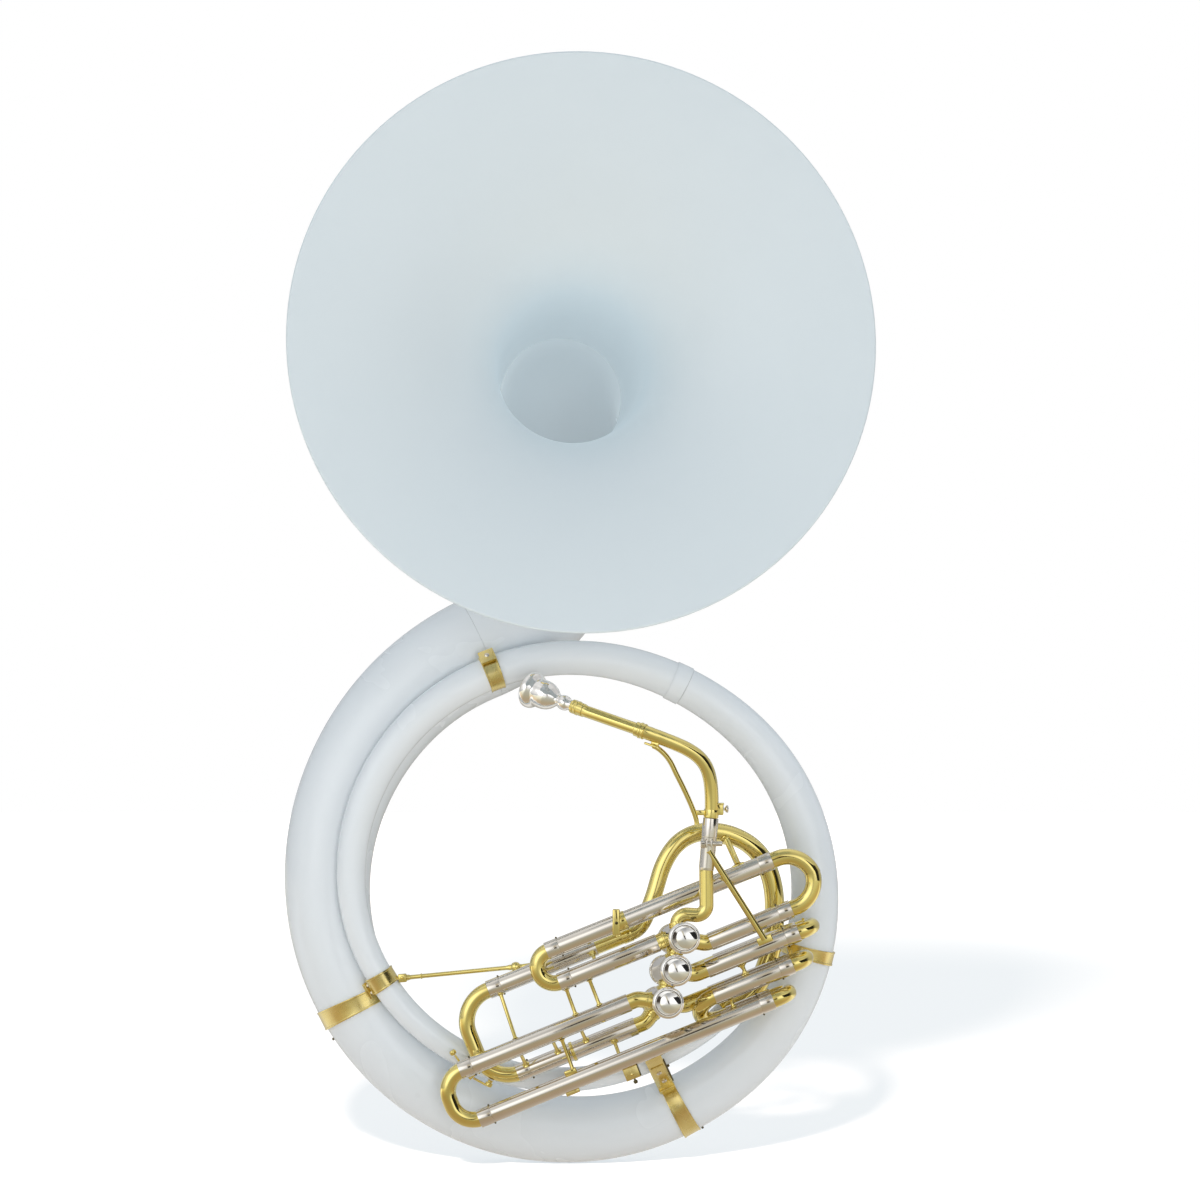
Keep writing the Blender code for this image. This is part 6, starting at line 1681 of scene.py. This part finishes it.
shapes = [rod_with_feet(slide_point(*one), slide_point(*two), BRACE_RADIUS) for one, two in BRACES]
show("slide_braces", joined(*shapes), "brass")

arch_foot = slide_point(0.1100, FIRST_UPPER_ROW, FRONT)
arch_top = ring_point(0.1945, -0.0573, 0.0830)
receiver_spot = RECEIVER_TOP + down * 0.0380
pad_spot = slide_point(0.1060, SECOND_ROW + 0.0080, FRONT) + FORWARD * 0.0100
long_stay_end = slide_point(0.1060, SECOND_ROW + 0.0085, FRONT) + FORWARD * 0.0120
long_stay = turned(receiver_spot + FORWARD * 0.0060, (long_stay_end - receiver_spot - FORWARD * 0.0060).normalized(),
                   [(0.0, 0.0044), (0.0030, 0.0038), (0.0060, STAY_RADIUS),
                    ((long_stay_end - receiver_spot - FORWARD * 0.0060).length, STAY_RADIUS)], UP, 24)
pad = block(pad_spot, (ALONG, ACROSS, -FORWARD), (0.0190, 0.0086, 0.0056), 0.0014)
arch_pad = block(slide_point(0.1100, FIRST_UPPER_ROW + 0.0100, FRONT), (ALONG, ACROSS, -FORWARD),
                 (0.0150, 0.0034, 0.0080), 0.0012)
show("receiver_and_arch_stays", joined(long_stay, pad, arch_pad, rod_with_feet(arch_foot, arch_top, STAY_RADIUS)), "brass")

# The hand plate with its saddle, a crossed casting, a foot and a binding ring
crossed = [rod_with_feet(slide_point(0.0696 + lean, SECOND_ROW, FRONT), slide_point(0.0696 - lean, THIRD_RETURN_ROW, FRONT),
                         0.0017) for lean in (-0.0060, 0.0060)]
saddle = turned_ring(slide_point(-0.0500, FIRST_UPPER_ROW, FRONT), ALONG, softened([(0.0, 0.0107), (0.0, 0.0116),
                     (0.0130, 0.0116), (0.0130, 0.0107)], 0.0004), FORWARD, 44)
hand_plate = block(slide_point(-0.0489, 0.0805, FRONT) + FORWARD * 0.0125, (RIGHT, -FORWARD, UP),
                   (0.0088, 0.0044, 0.0310), 0.0014)
foot = block(slide_point(-0.1655, THIRD_LOWER_ROW + 0.0118, FRONT) + FORWARD * 0.0020, (ALONG, ACROSS, -FORWARD),
             (0.0150, 0.0058, 0.0110), 0.0014)
binding = turned_ring(slide_point(-0.1575, MAIN_LOWER_ROW, BACK), ALONG, softened([(0.0, 0.0107), (0.0, 0.0119),
                      (0.0040, 0.0119), (0.0040, 0.0107)], 0.0004), FORWARD, 44)
show("slide_castings", joined(*crossed, saddle, hand_plate, foot, binding), "brass")
# The hand plate's screw, a thin plate and a knob below the third slide are painted nearly black: painted shade
dark_parts = [slotted_screw(slide_point(-0.0489, 0.0795, FRONT) + FORWARD * 0.0147, FORWARD, ALONG, 0.0019),
              block(slide_point(-0.0898, -0.0925, FRONT), (ALONG, ACROSS, -FORWARD), (0.0016, 0.0135, 0.0066), 0.0004),
              turned(slide_point(-0.0985, -0.1005, FRONT), -ACROSS, softened([(0.0, 0.0012), (0.0016, 0.0012),
                     (0.0018, 0.0024), (0.0042, 0.0026), (0.0056, 0.0018)], 0.0003, closed=False), FORWARD, 20)]
show("dark_screws", joined(*dark_parts), "aged_brass")

lugs = []
for a, size in ((-0.0990, (0.0180, 0.0150, 0.0060)), (-0.1720, (0.0170, 0.0050, 0.0060))):
    centre = slide_point(a, THIRD_LOWER_ROW - 0.0104 - size[1] / 2.0 + 0.0010, FRONT)
    lugs.append(block(centre, (ALONG, ACROSS, -FORWARD), size, 0.0008))
lugs.append(slotted_screw(slide_point(-0.0990, THIRD_LOWER_ROW - 0.0190, FRONT) + FORWARD * 0.0028, FORWARD, ALONG, 0.0024))
show("third_slide_lugs", joined(*lugs), "strap_brass")
print("braces", len(BRACES) + 2)

# %% [markdown]
# ## Main slide and water key
# The main bow is the largest. At its lowest point, when the horn is worn, it has a nozzle closed
# by a cork in a cup. A lever on a pin between two posts lifts the cup to let the water out.

# %% Main bow and water key
KEY_PIVOT = (-0.2801, -0.0290)
KEY_CORK = (-0.2653, -0.0472)
KEY_KNOB = (-0.2887, 0.0060)
POST_OFFSET = 0.0045

pivot = slide_point(*KEY_PIVOT, BACK)
cork = slide_point(*KEY_CORK, BACK)
knob = slide_point(*KEY_KNOB, BACK)
bend_centre = slide_point(MAIN_FAR + MAIN_BEND, MAIN_LOWER_ROW + MAIN_BEND, BACK)
out = (pivot - bend_centre).normalized()
axes = (out, out.cross(FORWARD), -FORWARD)
post_foot = bend_centre + out * (MAIN_BEND + 0.0073)
post_tip = pivot + out * 0.0022
drain = (cork - bend_centre).normalized()
posts = [block((post_foot + post_tip) / 2.0 + FORWARD * offset, axes, ((post_tip - post_foot).length, 0.0046, 0.0014),
               0.0005) for offset in (-POST_OFFSET, POST_OFFSET)]
saddle = block(bend_centre + out * (MAIN_BEND + 0.0092), axes, (0.0020, 0.0080, 0.0120), 0.0008)
pin = turned(pivot - FORWARD * 0.0060, FORWARD, softened([(0.0, 0.0008), (0.0002, 0.0016), (0.0010, 0.0016),
             (0.0012, 0.0010), (0.0108, 0.0010), (0.0110, 0.0016), (0.0118, 0.0016), (0.0120, 0.0008)],
             0.0001, closed=False), out, 20)
nozzle = turned(bend_centre + drain * (MAIN_BEND + 0.0088), drain,
                [(0.0, 0.0040), (0.0008, 0.0032), ((cork - drain * 0.0053 - bend_centre - drain * (MAIN_BEND + 0.0088)).length,
                                                   0.0030)], FORWARD, 24)
slide_bow("main_slide_bow", (MAIN_UPPER_SEAM, MAIN_UPPER_ROW, BACK), (MAIN_LOWER_SEAM, MAIN_LOWER_ROW, BACK),
          -ALONG, MAIN_FAR, MAIN_CROOK, (0.127, 0.127), posts + [saddle, pin, nozzle])

cup = turned(cork, drain, softened([(-0.0050, 0.0040), (-0.0048, 0.0046), (-0.0012, 0.0046), (0.0000, 0.0036),
             (0.0006, 0.0010)], 0.0004, closed=False), FORWARD, 28)
half = POST_OFFSET - 0.0010
barrel = turned_ring(pivot, FORWARD, softened([(-half, 0.0012), (-half, 0.0026), (half, 0.0026), (half, 0.0012)], 0.0003),
                     out, 28)
crook = cork - drain * 0.0006
key_path = smooth_stations([crook, pivot - out * 0.0004 + (crook - pivot).normalized() * 0.0035], (pivot - crook).normalized(),
                           (pivot - crook).normalized(), 4)
short_arm = tube(key_path, 0.0014, 0.0010, 16)
long_way = (knob - pivot).normalized()
long_arm = turned(pivot + long_way * 0.0019, long_way, [(0.0, 0.0020), (0.0060, 0.0015), ((knob - pivot).length - 0.006, 0.0013)],
                  FORWARD, 20)
touch = turned(knob, long_way, softened([(-0.0036, 0.0014), (-0.0028, 0.0034), (-0.0012, 0.0042), (0.0012, 0.0042),
               (0.0030, 0.0028)], 0.0006, closed=False), FORWARD, 28)
show("water_key_lever", joined(cup, barrel, short_arm, long_arm, touch), "brass", "water_key", ["water_key"])
print("water key", round((knob - cork).length, 4), "m long")

# %% [markdown]
# ## What stays from the frame
# The pistons and their springs keep their own measured shapes, with a satin steel finish.

# %% Carried-over parts
slots = {entry["node"]: entry["material_slot"] for entry in frame["record"]["subparts"]}
for name, item in frame["nodes"].items():
    item.data.materials.clear()
    item.data.materials.append(finishes[slots[name]])
print("pieces", len(pieces), "triangles", sum(len(item.data.loop_triangles) or
                                              sum(len(face.vertices) - 2 for face in item.data.polygons)
                                              for item in pieces))
